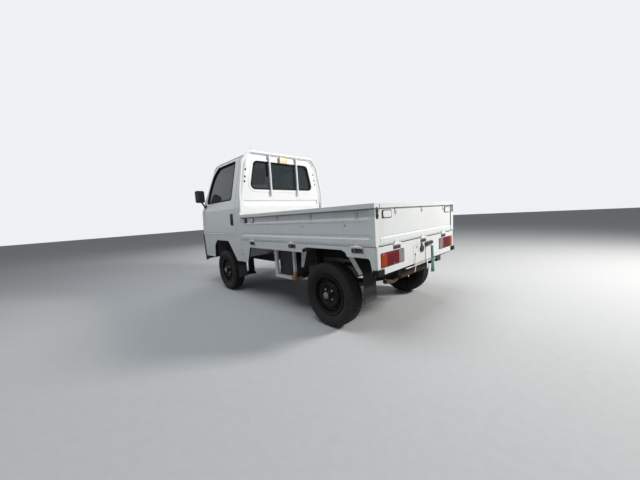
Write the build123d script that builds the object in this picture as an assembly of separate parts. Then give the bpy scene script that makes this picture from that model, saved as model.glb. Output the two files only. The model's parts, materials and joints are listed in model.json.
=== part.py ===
"""A kei truck: a short flat-nosed cab over the front axle, a flat load bed with three drop gates,
and the engine under the bed. Millimetres. X is forward, Y is the truck's left and Z is up.
The origin is on the ground, under the middle of the body's length and width."""
from build123d import *
from math import cos, radians, sin
import os

os.makedirs("parts", exist_ok=True)

# Driving sizes of the whole truck
BED_LENGTH = 1862
CAB_LENGTH = 1345
WIDTH = 1395
REAR_OVERHANG = 521
FRONT_AXLE = 511      # ahead of the cab's back
WHEEL_INSET = 95      # from the body's side to the wheel's middle
KINGPIN_INSET = 112.5
SEAT_GAP = 0.3        # between pieces that rest on or in each other
SHUT_GAP = 6          # round doors and gates

# Wheels: steel rims with plain road tyres
TYRE_RADIUS = 268
TYRE_WIDTH = 148
TREAD_WIDTH = 112
BEAD_RADIUS = 152
FLANGE_HEIGHT = 15
RIM_WIDTH = 102
RIM_WALL = 4
WELL_DEPTH = 24
DISC_FACE = 38        # mounting face, outboard of the wheel's middle plane
HUB_RADIUS = 27
HUB_FLANGE_RADIUS = 70
NUT_CIRCLE = 50
VENT_CIRCLE = 112
VENT_RADIUS = 9

# Load bed
DECK_TOP = 700
DECK_THICK = 25
GATE_TOP = 981
GATE_BOTTOM = 690
GATE_THICK = 40
SILL_BOTTOM = 610
SILL_TOP = 685
SILL_WIDTH = 91.5
SILL_SETBACK = 6      # inside the gates' outer faces
REAR_SETBACK = 10     # rear panel ahead of the rearmost point
PANEL_BOTTOM = 490
PANEL_THICK = 25

# Cab
CAB_GAP = 38          # bed front to cab back
CAB_WALL = 40
CAB_BOTTOM = 430
DOOR_BOTTOM = 768
DOOR_TOP = 1684
DOOR_THICK = 45
GLASS_THICK = 5
FLOOR_THICK = 25
SEAT_DECK = 715
FOOTWELL = 495

# Chassis
RAIL_MIDDLE = 300     # from the middle plane
RAIL_WIDTH = 60
RAIL_HEIGHT = 90
RAIL_TOP_REAR = 600
RAIL_TOP_FRONT = 470

# Stations along the truck
rear_face = -(REAR_SETBACK + BED_LENGTH + CAB_GAP + CAB_LENGTH) / 2
nose = -rear_face
axle_rear = rear_face + REAR_OVERHANG
bed_rear = rear_face + REAR_SETBACK
bed_front = bed_rear + BED_LENGTH
cab_back = bed_front + CAB_GAP
axle_front = cab_back + FRONT_AXLE
half_width = WIDTH / 2
sill_face = half_width - SILL_SETBACK
gate_inner = half_width - GATE_THICK
deck_half = gate_inner - SHUT_GAP
deck_rear = bed_rear + GATE_THICK + SHUT_GAP
wheel_plane = half_width - WHEEL_INSET
kingpin = wheel_plane - KINGPIN_INSET
sill_inner = sill_face - SILL_WIDTH


# Helpers
def block(x0, x1, y0, y1, z0, z1):
    """A block between two corners."""
    centre = Pos((x0 + x1) / 2, (y0 + y1) / 2, (z0 + z1) / 2)
    return centre * Box(abs(x1 - x0), abs(y1 - y0), abs(z1 - z0))


def outline(points, radius=0):
    """A flat face from corner points, with its corners rounded to one radius or to a list."""
    if radius == 0:
        return make_face(Polyline(*points, close=True))
    return make_face(FilletPolyline(*points, radius=radius, close=True))


def side_shape(points, y0, y1, radius=0):
    """An outline of (x, z) points seen from the side, extruded across the truck."""
    plane = Plane(origin=(0, y1, 0), x_dir=(1, 0, 0), z_dir=(0, -1, 0))
    return extrude(plane * outline(points, radius), amount=y1 - y0)


def front_shape(points, x0, x1, radius=0):
    """An outline of (y, z) points seen from behind, extruded along the truck."""
    plane = Plane(origin=(x0, 0, 0), x_dir=(0, 1, 0), z_dir=(1, 0, 0))
    return extrude(plane * outline(points, radius), amount=x1 - x0)


def plan_shape(points, z0, z1, radius=0):
    """An outline of (x, y) points seen from above, extruded upwards."""
    return extrude(Plane.XY.offset(z0) * outline(points, radius), amount=z1 - z0)


def rod(start, end, radius):
    """A round bar between two points."""
    a, b = Vector(*start), Vector(*end)
    return Solid.make_cylinder(radius, (b - a).length, Plane(origin=a, z_dir=b - a))


def other_side(shape):
    """The same shape on the right-hand side."""
    return mirror(shape, about=Plane.XZ)


def pair(shape):
    """A left-hand shape with its right-hand twin, which it doesn't touch."""
    return Compound(children=[*shape.solids(), *other_side(shape).solids()])


def write(name, shape):
    """One file for each piece."""
    solids = shape.solids()
    export_step(solids[0] if len(solids) == 1 else Compound(children=list(solids)),
                f"parts/{name}.step")


# Cab form. The sections are horizontal, bottom to top, as height, half width, how far the
# middle of the front lies behind the nose, how far the front bows, and plan corner radius.
CAB_SECTIONS = [
    # height, half width, behind nose, bow, corner radius
    (CAB_BOTTOM, half_width - 6, 62, 42, 190),
    (DOOR_BOTTOM - 12, half_width, 26, 45, 200),
    (1066, half_width, 48, 48, 200),
    (1082, half_width - 7, 52, 48, 195),
    (1160, half_width - 25, 86, 55, 180),
    (1660, half_width - 137.5, 392, 42, 110),
    (1700, half_width - 161.5, 428, 40, 100),
    (1722, half_width - 217.5, 498, 36, 90),
]
CAB_REAR_RADIUS = 48
ROOF_SECTIONS = 3
ROOF_SPLIT = DOOR_TOP + SHUT_GAP


def cab_form(inset):
    """The cab's outer form, or that form shrunk by a wall thickness and open below."""
    faces = []
    for level, (height, half, behind, bow, radius) in enumerate(CAB_SECTIONS):
        if level == 0:
            height = height - abs(inset)
        if level >= len(CAB_SECTIONS) - ROOF_SECTIONS:
            height = height - inset
        side = half - inset
        front = nose - behind - inset
        back = cab_back + inset
        corner = front - bow
        wire = [
            Line((back, -side), (corner, -side)),
            ThreePointArc((corner, -side), (front, 0), (corner, side)),
            Line((corner, side), (back, side)),
            Line((back, side), (back, -side)),
        ]
        face = make_face(wire)
        front_corners = face.vertices().filter_by(lambda v: v.X > 0 and abs(v.X - corner) < 1)
        face = fillet(front_corners, radius - inset)
        rear_corners = face.vertices().filter_by(lambda v: abs(v.X - back) < 1)
        face = fillet(rear_corners, max(CAB_REAR_RADIUS - inset, 5))
        faces.append(Pos(0, 0, height) * face)
    return loft(faces, ruled=True)


cab_outer = cab_form(0)
cab_shell = cab_outer - cab_form(CAB_WALL)

# Door and side window outlines, measured from the cab's back
DOOR_REAR = 75
DOOR_LENGTH = 945
HINGE_PIN = 2.6
door_rear = cab_back + DOOR_REAR
door_front = door_rear + DOOR_LENGTH
door_points = [
    (door_rear, DOOR_BOTTOM),
    (door_front, DOOR_BOTTOM),
    (door_front, 1170),
    (door_front - 28, 1400),
    (door_front - 130, 1600),
    (door_front - 250, DOOR_TOP),
    (door_rear + 20, DOOR_TOP),
]
door_face = outline(door_points, [14, 14, 60, 120, 120, 30, 30])
WINDOW_BOTTOM = 1170
WINDOW_TOP = 1656
window_points = [
    (door_rear + 115, WINDOW_BOTTOM),
    (door_front - 52, WINDOW_BOTTOM),
    (door_front - 88, 1394),
    (door_front - 178, 1566),
    (door_front - 312, WINDOW_TOP),
    (door_rear + 119, WINDOW_TOP),
]
WINDOW_RADII = [28, 22, 120, 110, 60, 30]
side_plane = Plane(origin=(0, WIDTH, 0), x_dir=(1, 0, 0), z_dir=(0, -1, 0))
HEADER_INSET = 247.5   # the roof panel comes down between the pillars, this far from the sides
header_half = half_width - HEADER_INSET


def side_cutter(face):
    """A side-view face swept in from outside the left of the cab, as far as the pillars."""
    return extrude(side_plane * face, amount=WIDTH - header_half)


door_opening = side_cutter(offset(door_face, SHUT_GAP, kind=Kind.INTERSECTION))
window_face = outline(window_points, WINDOW_RADII)

# Windscreen and rear window outlines, as (y, z)
PILLAR_FOOT = 93.5     # from the body's side to the windscreen at its foot, and at its head
PILLAR_HEAD = 215.5
screen_foot = half_width - PILLAR_FOOT
screen_head = half_width - PILLAR_HEAD
screen_points = [(-screen_foot, 1178), (screen_foot, 1178), (screen_head, 1650), (-screen_head, 1650)]
SCREEN_RADIUS = 60
screen_cutter_back = axle_front
REAR_FOOT = 185.5      # the same for the rear window
REAR_HEAD = 265.5
rear_foot = half_width - REAR_FOOT
rear_head = half_width - REAR_HEAD
rear_window_points = [(-rear_foot, 1288), (rear_foot, 1288), (rear_head, 1640), (-rear_head, 1640)]
REAR_WINDOW_RADIUS = 62
RING_WIDTH = 30        # the raised surround of the rear window
RING_RISE = 4


def screen_cutter(clearance):
    face = offset(outline(screen_points, SCREEN_RADIUS), -clearance) if clearance else (
        outline(screen_points, SCREEN_RADIUS))
    plane = Plane(origin=(screen_cutter_back, 0, 0), x_dir=(0, 1, 0), z_dir=(1, 0, 0))
    return extrude(plane * face, amount=nose - screen_cutter_back)


def rear_window_cutter(clearance, x0, x1):
    face = outline(rear_window_points, REAR_WINDOW_RADIUS)
    if clearance:
        face = offset(face, -clearance)
    plane = Plane(origin=(x0, 0, 0), x_dir=(0, 1, 0), z_dir=(1, 0, 0))
    return extrude(plane * face, amount=x1 - x0)


# Front wheel arch in the cab's side, as (x from the front axle, z)
arch_points = [
    (axle_front - 384, CAB_BOTTOM - 60),
    (axle_front - 384, 445),
    (axle_front - 190, 668),
    (axle_front + 160, 672),
    (axle_front + 246, 600),
    (axle_front + 292, CAB_BOTTOM - 60),
]
arch_cut = side_shape(arch_points, kingpin, WIDTH, [1, 30, 26, 70, 40, 1])

# Cab panels, split where the real ones meet
LAMP_BOTTOM = 802
LAMP_TOP = 912
LAMP_WIDTH = 193
SIGNAL_WIDTH = 78
lamp_outer = half_width - 119.5
lamp_inner = lamp_outer - LAMP_WIDTH
signal_outer = half_width - 29.5
signal_inner = signal_outer - SIGNAL_WIDTH
split_front = door_front + SHUT_GAP + 30
back_inner = cab_back + CAB_WALL
below_rails = RAIL_TOP_FRONT + SEAT_GAP


def lamp_cutter(inner, outer, clearance):
    points = [
        (inner + clearance, LAMP_BOTTOM + clearance),
        (outer - clearance, LAMP_BOTTOM + clearance),
        (outer - clearance, LAMP_TOP - clearance),
        (inner + clearance, LAMP_TOP - clearance),
    ]
    return front_shape(points, split_front + clearance, nose, 12)


lamp_holes = [lamp_cutter(lamp_inner, lamp_outer, 0), lamp_cutter(signal_inner, signal_outer, 0)]
roof_region = block(cab_back, nose, -WIDTH, WIDTH, ROOF_SPLIT, 2 * GATE_TOP)
roof_region = roof_region + block(back_inner, nose, -header_half, header_half, WINDOW_TOP - 100, ROOF_SPLIT)
screened_shell = cab_shell - screen_cutter(0)
cab_roof = screened_shell & roof_region
lower_shell = screened_shell - roof_region
cab_back_panel = lower_shell & block(cab_back, back_inner, -WIDTH, WIDTH, 0, ROOF_SPLIT)
cab_back_panel -= rear_window_cutter(0, cab_back - CAB_GAP, back_inner + CAB_GAP)
cab_back_panel -= block(cab_back, back_inner, -sill_inner, sill_inner, 0, below_rails)
PRESS_DEPTH = 16
PRESS_ENDS = 100       # from the body's sides
channel = side_shape([(cab_back - 1, 1156), (cab_back + PRESS_DEPTH, 1148), (cab_back + PRESS_DEPTH, 1112),
                      (cab_back - 1, 1070)], PRESS_ENDS - half_width, half_width - PRESS_ENDS)
cab_back_panel -= channel
VENT_SIZE = 22
VENTS = [(1370, 115.5), (1428, 126.5), (1512, 140.5)]   # height of the bottom, outer end from the side
for height, inset in VENTS:
    slot = block(cab_back - 1, cab_back + 8, half_width - inset - VENT_SIZE, half_width - inset,
                 height, height + VENT_SIZE)
    cab_back_panel = cab_back_panel - slot - other_side(slot)
LAMP_BASE = 57         # of the lamp over the bed, below the roof's seam
BED_LAMP_WIDTH = 118
BED_LAMP_HEIGHT = 74
BED_LAMP_DEPTH = 40
lamp_base = ROOF_SPLIT - LAMP_BASE
bed_lamp = block(cab_back - BED_LAMP_DEPTH, cab_back - SEAT_GAP, -BED_LAMP_WIDTH / 2,
                 BED_LAMP_WIDTH / 2, lamp_base, lamp_base + BED_LAMP_HEIGHT)
lamp_room = offset(bed_lamp, SEAT_GAP, kind=Kind.INTERSECTION)
ring = rear_window_cutter(-RING_WIDTH, cab_back - RING_RISE, cab_back + 1)
ring = ring - rear_window_cutter(0, cab_back - CAB_GAP, back_inner) - lamp_room
cab_back_panel = cab_back_panel + ring
bed_lamp = fillet(bed_lamp.edges().filter_by(Axis.X), 8)
side_region = block(back_inner, split_front, header_half, WIDTH, 0, ROOF_SPLIT)
cab_side = (lower_shell & side_region) - door_opening - arch_cut
cab_front = lower_shell & block(split_front, nose, -WIDTH, WIDTH, 0, ROOF_SPLIT)
for hole in lamp_holes:
    cab_front = cab_front - hole - other_side(hole)

# Front bumper: a deep moulding round the lower nose
BUMPER_BOTTOM = 360
BUMPER_TOP = 745
BUMPER_WRAP = 225     # how far it reaches back from the nose


def bumper_form(inset, rise):
    faces = []
    for height, behind in ((BUMPER_BOTTOM - rise, 38), (BUMPER_TOP + rise, 0)):
        side = half_width + 4 - inset
        front = nose - behind - inset
        corner = front - 45
        back = nose - 2 * BUMPER_WRAP
        face = make_face([
            Line((back, -side), (corner, -side)),
            ThreePointArc((corner, -side), (front, 0), (corner, side)),
            Line((corner, side), (back, side)),
            Line((back, side), (back, -side)),
        ])
        corners = face.vertices().filter_by(lambda v: abs(v.X - corner) < 1)
        faces.append(Pos(0, 0, height) * fillet(corners, 190 - inset))
    return loft(faces, ruled=True)


wrapped = block(nose - BUMPER_WRAP, nose, -WIDTH, WIDTH, 0, WIDTH)
front_bumper = (bumper_form(0, 0) & wrapped) - cab_form(-SEAT_GAP) - bumper_form(28, 5)
intake = front_shape([(-300, 470), (300, 470), (300, 540), (-300, 540)],
                     nose - BUMPER_WRAP, nose, 20)
front_bumper -= intake
for slat in range(3):
    z = 482 + slat * 20
    bar = block(nose - BUMPER_WRAP, nose, -320, 320, z, z + 8)
    front_bumper += bar & (bumper_form(6, 0) - bumper_form(22, 5) - cab_form(-SEAT_GAP))

# Doors
door_body = cab_outer & extrude(side_plane * door_face, amount=WIDTH - header_half - 60)
door = door_body - cab_form(DOOR_THICK) - side_cutter(window_face)
HANDLE_LENGTH = 145
HANDLE_WIDTH = 88
HANDLE_DEPTH = 16
handle_rear = door_rear + 50
handle_points = [
    (handle_rear, 860),
    (handle_rear + HANDLE_WIDTH, 860),
    (handle_rear + HANDLE_WIDTH, 860 + HANDLE_LENGTH),
    (handle_rear, 860 + HANDLE_LENGTH),
]
door -= side_shape(handle_points, half_width - HANDLE_DEPTH, WIDTH, 12)
handle_face = offset(outline(handle_points, 12), -SEAT_GAP)
handle_plane = Plane(origin=(0, half_width - 3, 0), x_dir=(1, 0, 0), z_dir=(0, -1, 0))
handle = extrude(handle_plane * handle_face, amount=HANDLE_DEPTH - 3 - SEAT_GAP)
GRIP_INSET = 18
grip_hollow = side_shape(
    [(handle_rear + GRIP_INSET, 876), (handle_rear + HANDLE_WIDTH - 8, 876),
     (handle_rear + HANDLE_WIDTH - 8, 940), (handle_rear + GRIP_INSET, 940)],
    half_width - 12, half_width, 8)
handle -= grip_hollow
hinge_x = door_front + SHUT_GAP / 2
hinge_y = half_width - 1
for z in (830, 985):
    pin = Pos(hinge_x, hinge_y - HINGE_PIN, z) * Cylinder(HINGE_PIN, 44)
    leaf = block(door_front - 8, hinge_x, hinge_y - 1.6 * HINGE_PIN, hinge_y - HINGE_PIN / 2,
                 z - 22, z + 22)
    door = door + pin + leaf
door_glass = (cab_form(14) - cab_form(14 + GLASS_THICK)) & side_cutter(
    offset(window_face, -SEAT_GAP))

# Door mirrors: a tall housing on a short arm at the window's front corner
MIRROR_HEIGHT = 168
MIRROR_WIDTH = 118
MIRROR_DEPTH = 52
mirror_x = door_front - 30
mirror_y = half_width + 52
mirror_z = 1285
housing = Pos(mirror_x + 14, mirror_y, mirror_z) * Box(MIRROR_DEPTH, MIRROR_WIDTH, MIRROR_HEIGHT)
housing = fillet(housing.edges().filter_by(Axis.X), 22)
housing = fillet(housing.faces().sort_by(Axis.X)[-1].edges(), 16)
mirror_foot = side_shape([(mirror_x - 30, WINDOW_BOTTOM - 46), (mirror_x + 22, WINDOW_BOTTOM - 46),
                          (mirror_x + 12, WINDOW_BOTTOM - 8), (mirror_x - 20, WINDOW_BOTTOM - 8)],
                         half_width - 60, half_width + 6, 6)
mirror_arm = rod((mirror_x, half_width, WINDOW_BOTTOM - 26), (mirror_x + 10, mirror_y, mirror_z - 50), 11)
door_mirror = (housing + mirror_foot + mirror_arm) - cab_form(-SEAT_GAP)

# Cab glass: windscreen and rear window
windscreen = (cab_form(12) - cab_form(12 + GLASS_THICK)) & screen_cutter(SEAT_GAP)
rear_glass = rear_window_cutter(SEAT_GAP, cab_back + 14, cab_back + 14 + GLASS_THICK)

# Lamps in the nose follow the panel's form
lamp_wall = cab_outer - cab_form(CAB_WALL - 5)
head_lamp = lamp_wall & lamp_cutter(lamp_inner, lamp_outer, SEAT_GAP)
turn_lamp = lamp_wall & lamp_cutter(signal_inner, signal_outer, SEAT_GAP)

# Cab floor: footwell, riser and the deck under the seats, which spans the front wheels
riser = axle_front + 300
floor_front = nose - 60
floor_points = [
    (back_inner + SEAT_GAP, SEAT_DECK - FLOOR_THICK),
    (riser - FLOOR_THICK, SEAT_DECK - FLOOR_THICK),
    (riser - FLOOR_THICK, FOOTWELL - FLOOR_THICK + SEAT_GAP),
    (floor_front, FOOTWELL - FLOOR_THICK + SEAT_GAP),
    (floor_front, FOOTWELL),
    (riser, FOOTWELL),
    (riser, SEAT_DECK),
    (back_inner + SEAT_GAP, SEAT_DECK),
]
cab_floor = side_shape(floor_points, -WIDTH / 2, WIDTH / 2) & cab_form(CAB_WALL + SEAT_GAP)

# Dashboard with the steering column, which is on the right
STEERING_INSET = 387.5
steering_y = STEERING_INSET - half_width
WHEEL_CENTRE_Z = 1075
COLUMN_ANGLE = 60
COLUMN_RADIUS = 28
STEERING_RADIUS = 182
STEERING_GRIP = 12
wheel_centre_x = riser - 40
column_way = Vector(cos(radians(COLUMN_ANGLE)), 0, -sin(radians(COLUMN_ANGLE)))
wheel_centre = Vector(wheel_centre_x, steering_y, WHEEL_CENTRE_Z)
dash_back = door_front - 130
dash_half = half_width - DOOR_THICK - 3 * SHUT_GAP
dash_points = [
    (dash_back, 880),
    (dash_back + 40, 850),
    (nose - 90, 850),
    (nose - 90, 1130),
    (dash_back + 40, 1110),
    (dash_back, 1060),
]
dash = side_shape(dash_points, -dash_half, dash_half, [20, 20, 5, 5, 40, 30])
dash = dash & cab_form(CAB_WALL + SEAT_GAP)
column_start = wheel_centre + column_way * 40
column_drop = WHEEL_CENTRE_Z - FOOTWELL - SEAT_GAP - COLUMN_RADIUS * cos(radians(COLUMN_ANGLE))
column_length = column_drop / sin(radians(COLUMN_ANGLE)) - 40
column = Solid.make_cylinder(COLUMN_RADIUS, column_length, Plane(origin=column_start, z_dir=column_way))
dash = dash + column

# Steering wheel: grip, boss and three spokes
wheel_plane_at = Plane(origin=wheel_centre, x_dir=(0, 1, 0), z_dir=column_way)
steering_wheel = wheel_plane_at * Rot(0, 0, 40) * Torus(STEERING_RADIUS, STEERING_GRIP)
boss = Solid.make_cylinder(38, 36, Plane(origin=wheel_centre + column_way * 3.5, z_dir=column_way))
steering_wheel = steering_wheel + boss
for angle in (0, 180, -90):
    tip = Vector(STEERING_RADIUS * cos(radians(angle)), STEERING_RADIUS * sin(radians(angle)), 0)
    tip_at = wheel_plane_at.from_local_coords(tip)
    spoke = rod(tuple(wheel_centre + column_way * 20), tuple(tip_at), 9)
    steering_wheel = steering_wheel + spoke

# Seats: cushion, leaning back and head rest in one solid each
SEAT_HALF = 225
SEAT_INSET = 372.5
seat_y = half_width - SEAT_INSET
seat_rear = back_inner + 25
seat_points = [
    (seat_rear + 70, SEAT_DECK + SEAT_GAP),
    (riser - 60, SEAT_DECK + SEAT_GAP),
    (riser - 50, SEAT_DECK + 120),
    (riser - 90, SEAT_DECK + 150),
    (seat_rear + 210, SEAT_DECK + 130),
    (seat_rear + 175, SEAT_DECK + 250),
    (seat_rear + 105, SEAT_DECK + 600),
    (seat_rear + 10, SEAT_DECK + 600),
    (seat_rear + 60, SEAT_DECK + 100),
]
seat = side_shape(seat_points, seat_y - SEAT_HALF, seat_y + SEAT_HALF,
                  [10, 10, 30, 40, 40, 60, 35, 35, 30])
head_rest = side_shape(
    [(seat_rear + 5, SEAT_DECK + 640), (seat_rear + 85, SEAT_DECK + 640),
     (seat_rear + 75, SEAT_DECK + 780), (seat_rear, SEAT_DECK + 780)],
    seat_y - 125, seat_y + 125, 25)
seat = seat + head_rest
for stalk in (-55, 55):
    seat = seat + rod((seat_rear + 50, seat_y + stalk, SEAT_DECK + 560),
                      (seat_rear + 45, seat_y + stalk, SEAT_DECK + 700), 6)

# Load bed: deck with pressed grooves, sills with the wheel arches, cross bearers
GROOVES = 9
GROOVE_DEPTH = 4
GROOVE_WIDTH = 60
BOARD_THICK = 22
BOARD_REBATE = 3
board_x = bed_front - BOARD_THICK
deck_under = DECK_TOP - DECK_THICK - SEAT_GAP
deck = block(deck_rear, bed_front, -deck_half, deck_half, DECK_TOP - DECK_THICK, DECK_TOP)
groove_pitch = 2 * (deck_half - GROOVE_WIDTH) / GROOVES
for n in range(GROOVES):
    y = (n - (GROOVES - 1) / 2) * groove_pitch
    groove = block(deck_rear + 70, bed_front - 70, y - GROOVE_WIDTH / 2, y + GROOVE_WIDTH / 2,
                   DECK_TOP - GROOVE_DEPTH, DECK_TOP)
    deck = deck - groove
deck = deck - block(board_x - 2, bed_front + 1, -WIDTH, WIDTH, DECK_TOP - BOARD_REBATE, DECK_TOP + 1)
sill_rear = bed_rear + 96
sill = block(sill_rear, bed_front, sill_inner, sill_face, SILL_BOTTOM, deck_under)
sill = sill + block(sill_rear, bed_front, deck_half + SEAT_GAP, sill_face, deck_under - 1, SILL_TOP)
rear_arch_points = [
    (axle_rear - 263, SILL_BOTTOM - 20),
    (axle_rear - 240, 640),
    (axle_rear - 200, 657),
    (axle_rear + 200, 657),
    (axle_rear + 252, 640),
    (axle_rear + 266, SILL_BOTTOM - 20),
]
sill = sill - side_shape(rear_arch_points, 0, WIDTH, [1, 10, 40, 40, 10, 1])
APRON_BOTTOM = 432
POST_WIDTH = 34
apron_front = bed_front + POST_WIDTH
apron_points = [
    (bed_front - 178, SILL_BOTTOM + 1),
    (bed_front - 104, APRON_BOTTOM),
    (apron_front, APRON_BOTTOM),
    (apron_front, SILL_TOP),
    (bed_front - 178, SILL_TOP),
]
sill = sill + side_shape(apron_points, sill_face - 20, sill_face, [1, 12, 4, 1, 1])
BEARER_WIDTH = 50
long_bearers = [bed_rear + 1005, bed_rear + 1330, bed_front - 162]
short_bearers = [bed_rear + ahead for ahead in (330, 560, 790)]
SHORT_HALF = 380
bearer_plan = [(x, sill_inner - SEAT_GAP) for x in long_bearers] + [(x, SHORT_HALF) for x in short_bearers]
bearers = []
for x, half in bearer_plan:
    bearers.append(block(x, x + BEARER_WIDTH, -half, half, RAIL_TOP_REAR + SEAT_GAP, deck_under))

# Head board: the bed's low front wall, with posts that the gates latch to
headboard = block(board_x, bed_front, -gate_inner + SHUT_GAP, gate_inner - SHUT_GAP,
                  DECK_TOP - BOARD_REBATE + SEAT_GAP, GATE_TOP)
for press in range(2):
    z = DECK_TOP + 60 + press * 110
    headboard -= block(board_x, board_x + 6, -540, 540, z, z + 60)
post = block(bed_front + SEAT_GAP, bed_front + POST_WIDTH, half_width - 60, sill_face,
             SILL_TOP + SEAT_GAP, GATE_TOP + 34)
post = post + block(board_x, bed_front + 1, half_width - 60, gate_inner - SHUT_GAP,
                    DECK_TOP + 40, GATE_TOP)
headboard = headboard + post + other_side(post)

# Rear panel: lamp holes, number plate drop, rounded ends that return along the sides
TAIL_WIDTH = 319
tail_outer = sill_face - 46.5
tail_inner = tail_outer - TAIL_WIDTH
TAIL_BOTTOM = 538
TAIL_TOP = 642
PLATE_DROP = 288
panel_points = [
    (-sill_face, PANEL_BOTTOM), (-PLATE_DROP - 20, PANEL_BOTTOM), (-PLATE_DROP, PANEL_BOTTOM - 22),
    (PLATE_DROP, PANEL_BOTTOM - 22), (PLATE_DROP + 20, PANEL_BOTTOM), (sill_face, PANEL_BOTTOM),
    (sill_face, SILL_TOP), (-sill_face, SILL_TOP),
]
rear_panel = front_shape(panel_points, bed_rear, bed_rear + PANEL_THICK)
return_points = [
    (bed_rear, PANEL_BOTTOM), (bed_rear + 30, PANEL_BOTTOM), (bed_rear + 42, 530),
    (bed_rear + 58, SILL_BOTTOM), (sill_rear - SEAT_GAP, SILL_BOTTOM),
    (sill_rear - SEAT_GAP, SILL_TOP), (bed_rear, SILL_TOP),
]
panel_return = side_shape(return_points, sill_face - 22, sill_face, [1, 14, 60, 26, 1, 1, 1])
rear_panel = rear_panel + panel_return + other_side(panel_return)
corner_edges = rear_panel.edges().filter_by(Axis.Z).filter_by(
    lambda e: abs(e.center().X - bed_rear) < 1 and abs(abs(e.center().Y) - sill_face) < 1)
rear_panel = fillet(corner_edges, 18)


def tail_cutter(clearance, x0, x1):
    points = [
        (tail_inner + clearance, TAIL_BOTTOM + clearance),
        (tail_outer - clearance, TAIL_BOTTOM + clearance),
        (tail_outer - clearance, TAIL_TOP - clearance),
        (tail_inner + clearance, TAIL_TOP - clearance),
    ]
    return front_shape(points, x0, x1, 10)


tail_hole = tail_cutter(0, bed_rear - PANEL_THICK, bed_rear + 2 * PANEL_THICK)
rear_panel = rear_panel - tail_hole - other_side(tail_hole)
tail_lamp = tail_cutter(SEAT_GAP, bed_rear - 5, bed_rear + PANEL_THICK)
tail_lamp = fillet(tail_lamp.faces().sort_by(Axis.X)[0].edges(), 4)
plate_recess = block(bed_rear, bed_rear + 4, -172, 180, PANEL_BOTTOM - 12, 645)
rear_panel = rear_panel - plate_recess

# Webbing strap, which hangs from a clamp on the rear panel
STRAP_WIDTH = 36
STRAP_THICK = 2.5
STRAP_CENTRE = -171
STRAP_TOP = 598
STRAP_END = 361
rear_panel = rear_panel + block(bed_rear - 8, bed_rear + 5, STRAP_CENTRE - 23, STRAP_CENTRE + 23,
                                STRAP_TOP, STRAP_TOP + 14)
tail_strap = block(bed_rear - 3.5 - STRAP_THICK, bed_rear - 3.5, STRAP_CENTRE - STRAP_WIDTH / 2,
                   STRAP_CENTRE + STRAP_WIDTH / 2, STRAP_END, STRAP_TOP)

# Corner pads: rubber blocks at the panel's lower corners, which a lowered gate rests on
PAD_BOTTOM = 492
PAD_TOP = 532
pad_inner = sill_face - 80
pad_hole = block(bed_rear - 1, bed_rear + 12, pad_inner, WIDTH, PAD_BOTTOM, PAD_TOP)
pad_side = block(bed_rear - 1, bed_rear + 34, sill_face - 10, WIDTH, PAD_BOTTOM, PAD_TOP)
rear_panel = rear_panel - pad_hole - pad_side - other_side(pad_hole + pad_side)
pad = block(rear_face, bed_rear + 12 - SEAT_GAP, pad_inner + SEAT_GAP, half_width - 2,
            PAD_BOTTOM + SEAT_GAP, PAD_TOP - SEAT_GAP)
pad = pad + block(rear_face + 10, bed_rear + 34 - SEAT_GAP, sill_face - 10 + SEAT_GAP, half_width - 2,
                  PAD_BOTTOM + SEAT_GAP, PAD_TOP - SEAT_GAP)
pad = fillet(pad.edges().filter_by(Axis.Z).filter_by(lambda e: e.center().X < rear_face + 1), 7)

# Gates: pressed double skins. The section is (distance outwards from the inner face, height).
LIP_BOTTOM = 949
gate_section = [
    (2, GATE_BOTTOM), (30, GATE_BOTTOM), (36, 704), (38, 712), (38, 740), (30, 750), (29, 766),
    (34, 776), (34, 862), (38, 867), (38, 881), (28, 888), (28, LIP_BOTTOM - 5),
    (40, LIP_BOTTOM), (40, GATE_TOP), (0, GATE_TOP), (0, LIP_BOTTOM), (6, LIP_BOTTOM - 8),
    (6, 720), (2, 710),
]
END_FRAME = 50
END_CAP = 20          # how far a side gate's rear end reaches in behind the deck
side_gate_front = bed_front - SHUT_GAP
side_gate = front_shape([(gate_inner + out * GATE_THICK / 40, z) for out, z in gate_section],
                        bed_rear + 1, side_gate_front)
for x in (bed_rear + 1, side_gate_front - END_FRAME):
    side_gate = side_gate + block(x, x + END_FRAME, gate_inner, half_width - 3, GATE_BOTTOM + 12, LIP_BOTTOM)
side_gate = side_gate + block(bed_rear + 1, bed_rear + GATE_THICK, gate_inner - END_CAP, gate_inner + 2,
                              GATE_BOTTOM + 12, GATE_TOP)
HOOK_RADIUS = 4.5
HOOK_DROP = 46
HOOK_CURL = 20
HOOK_STATIONS = (152, 628, 1116)
TAIL_HOOKS = (-443, 9, 430)


def rope_hook(at, along):
    """A round bar that hangs from the gate's lip and curls up again, in the gate's own plane."""
    top, across = Vector(*at), Vector(*along)
    down = Vector(0, 0, -HOOK_DROP)
    path = FilletPolyline(top + Vector(0, 0, 6), top + down, top + down + across * HOOK_CURL,
                          top + across * HOOK_CURL + down * 0.5, radius=0.45 * HOOK_CURL)
    return sweep(Plane(origin=path @ 0, z_dir=path % 0) * Circle(HOOK_RADIUS), path=path)


for station in HOOK_STATIONS:
    side_gate = side_gate + rope_hook((bed_rear + station, half_width - 6, LIP_BOTTOM), (1, 0, 0))
for latch_front, length in ((side_gate_front - 24, 74), (side_gate_front - 234, 56)):
    latch_rear = latch_front - length
    side_gate = side_gate + side_shape(
        [(latch_rear, LIP_BOTTOM - 60), (latch_front, LIP_BOTTOM - 60),
         (latch_front, LIP_BOTTOM - 14), (latch_rear, LIP_BOTTOM - 14)],
        half_width - 14, half_width - 1, 12)

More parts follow.
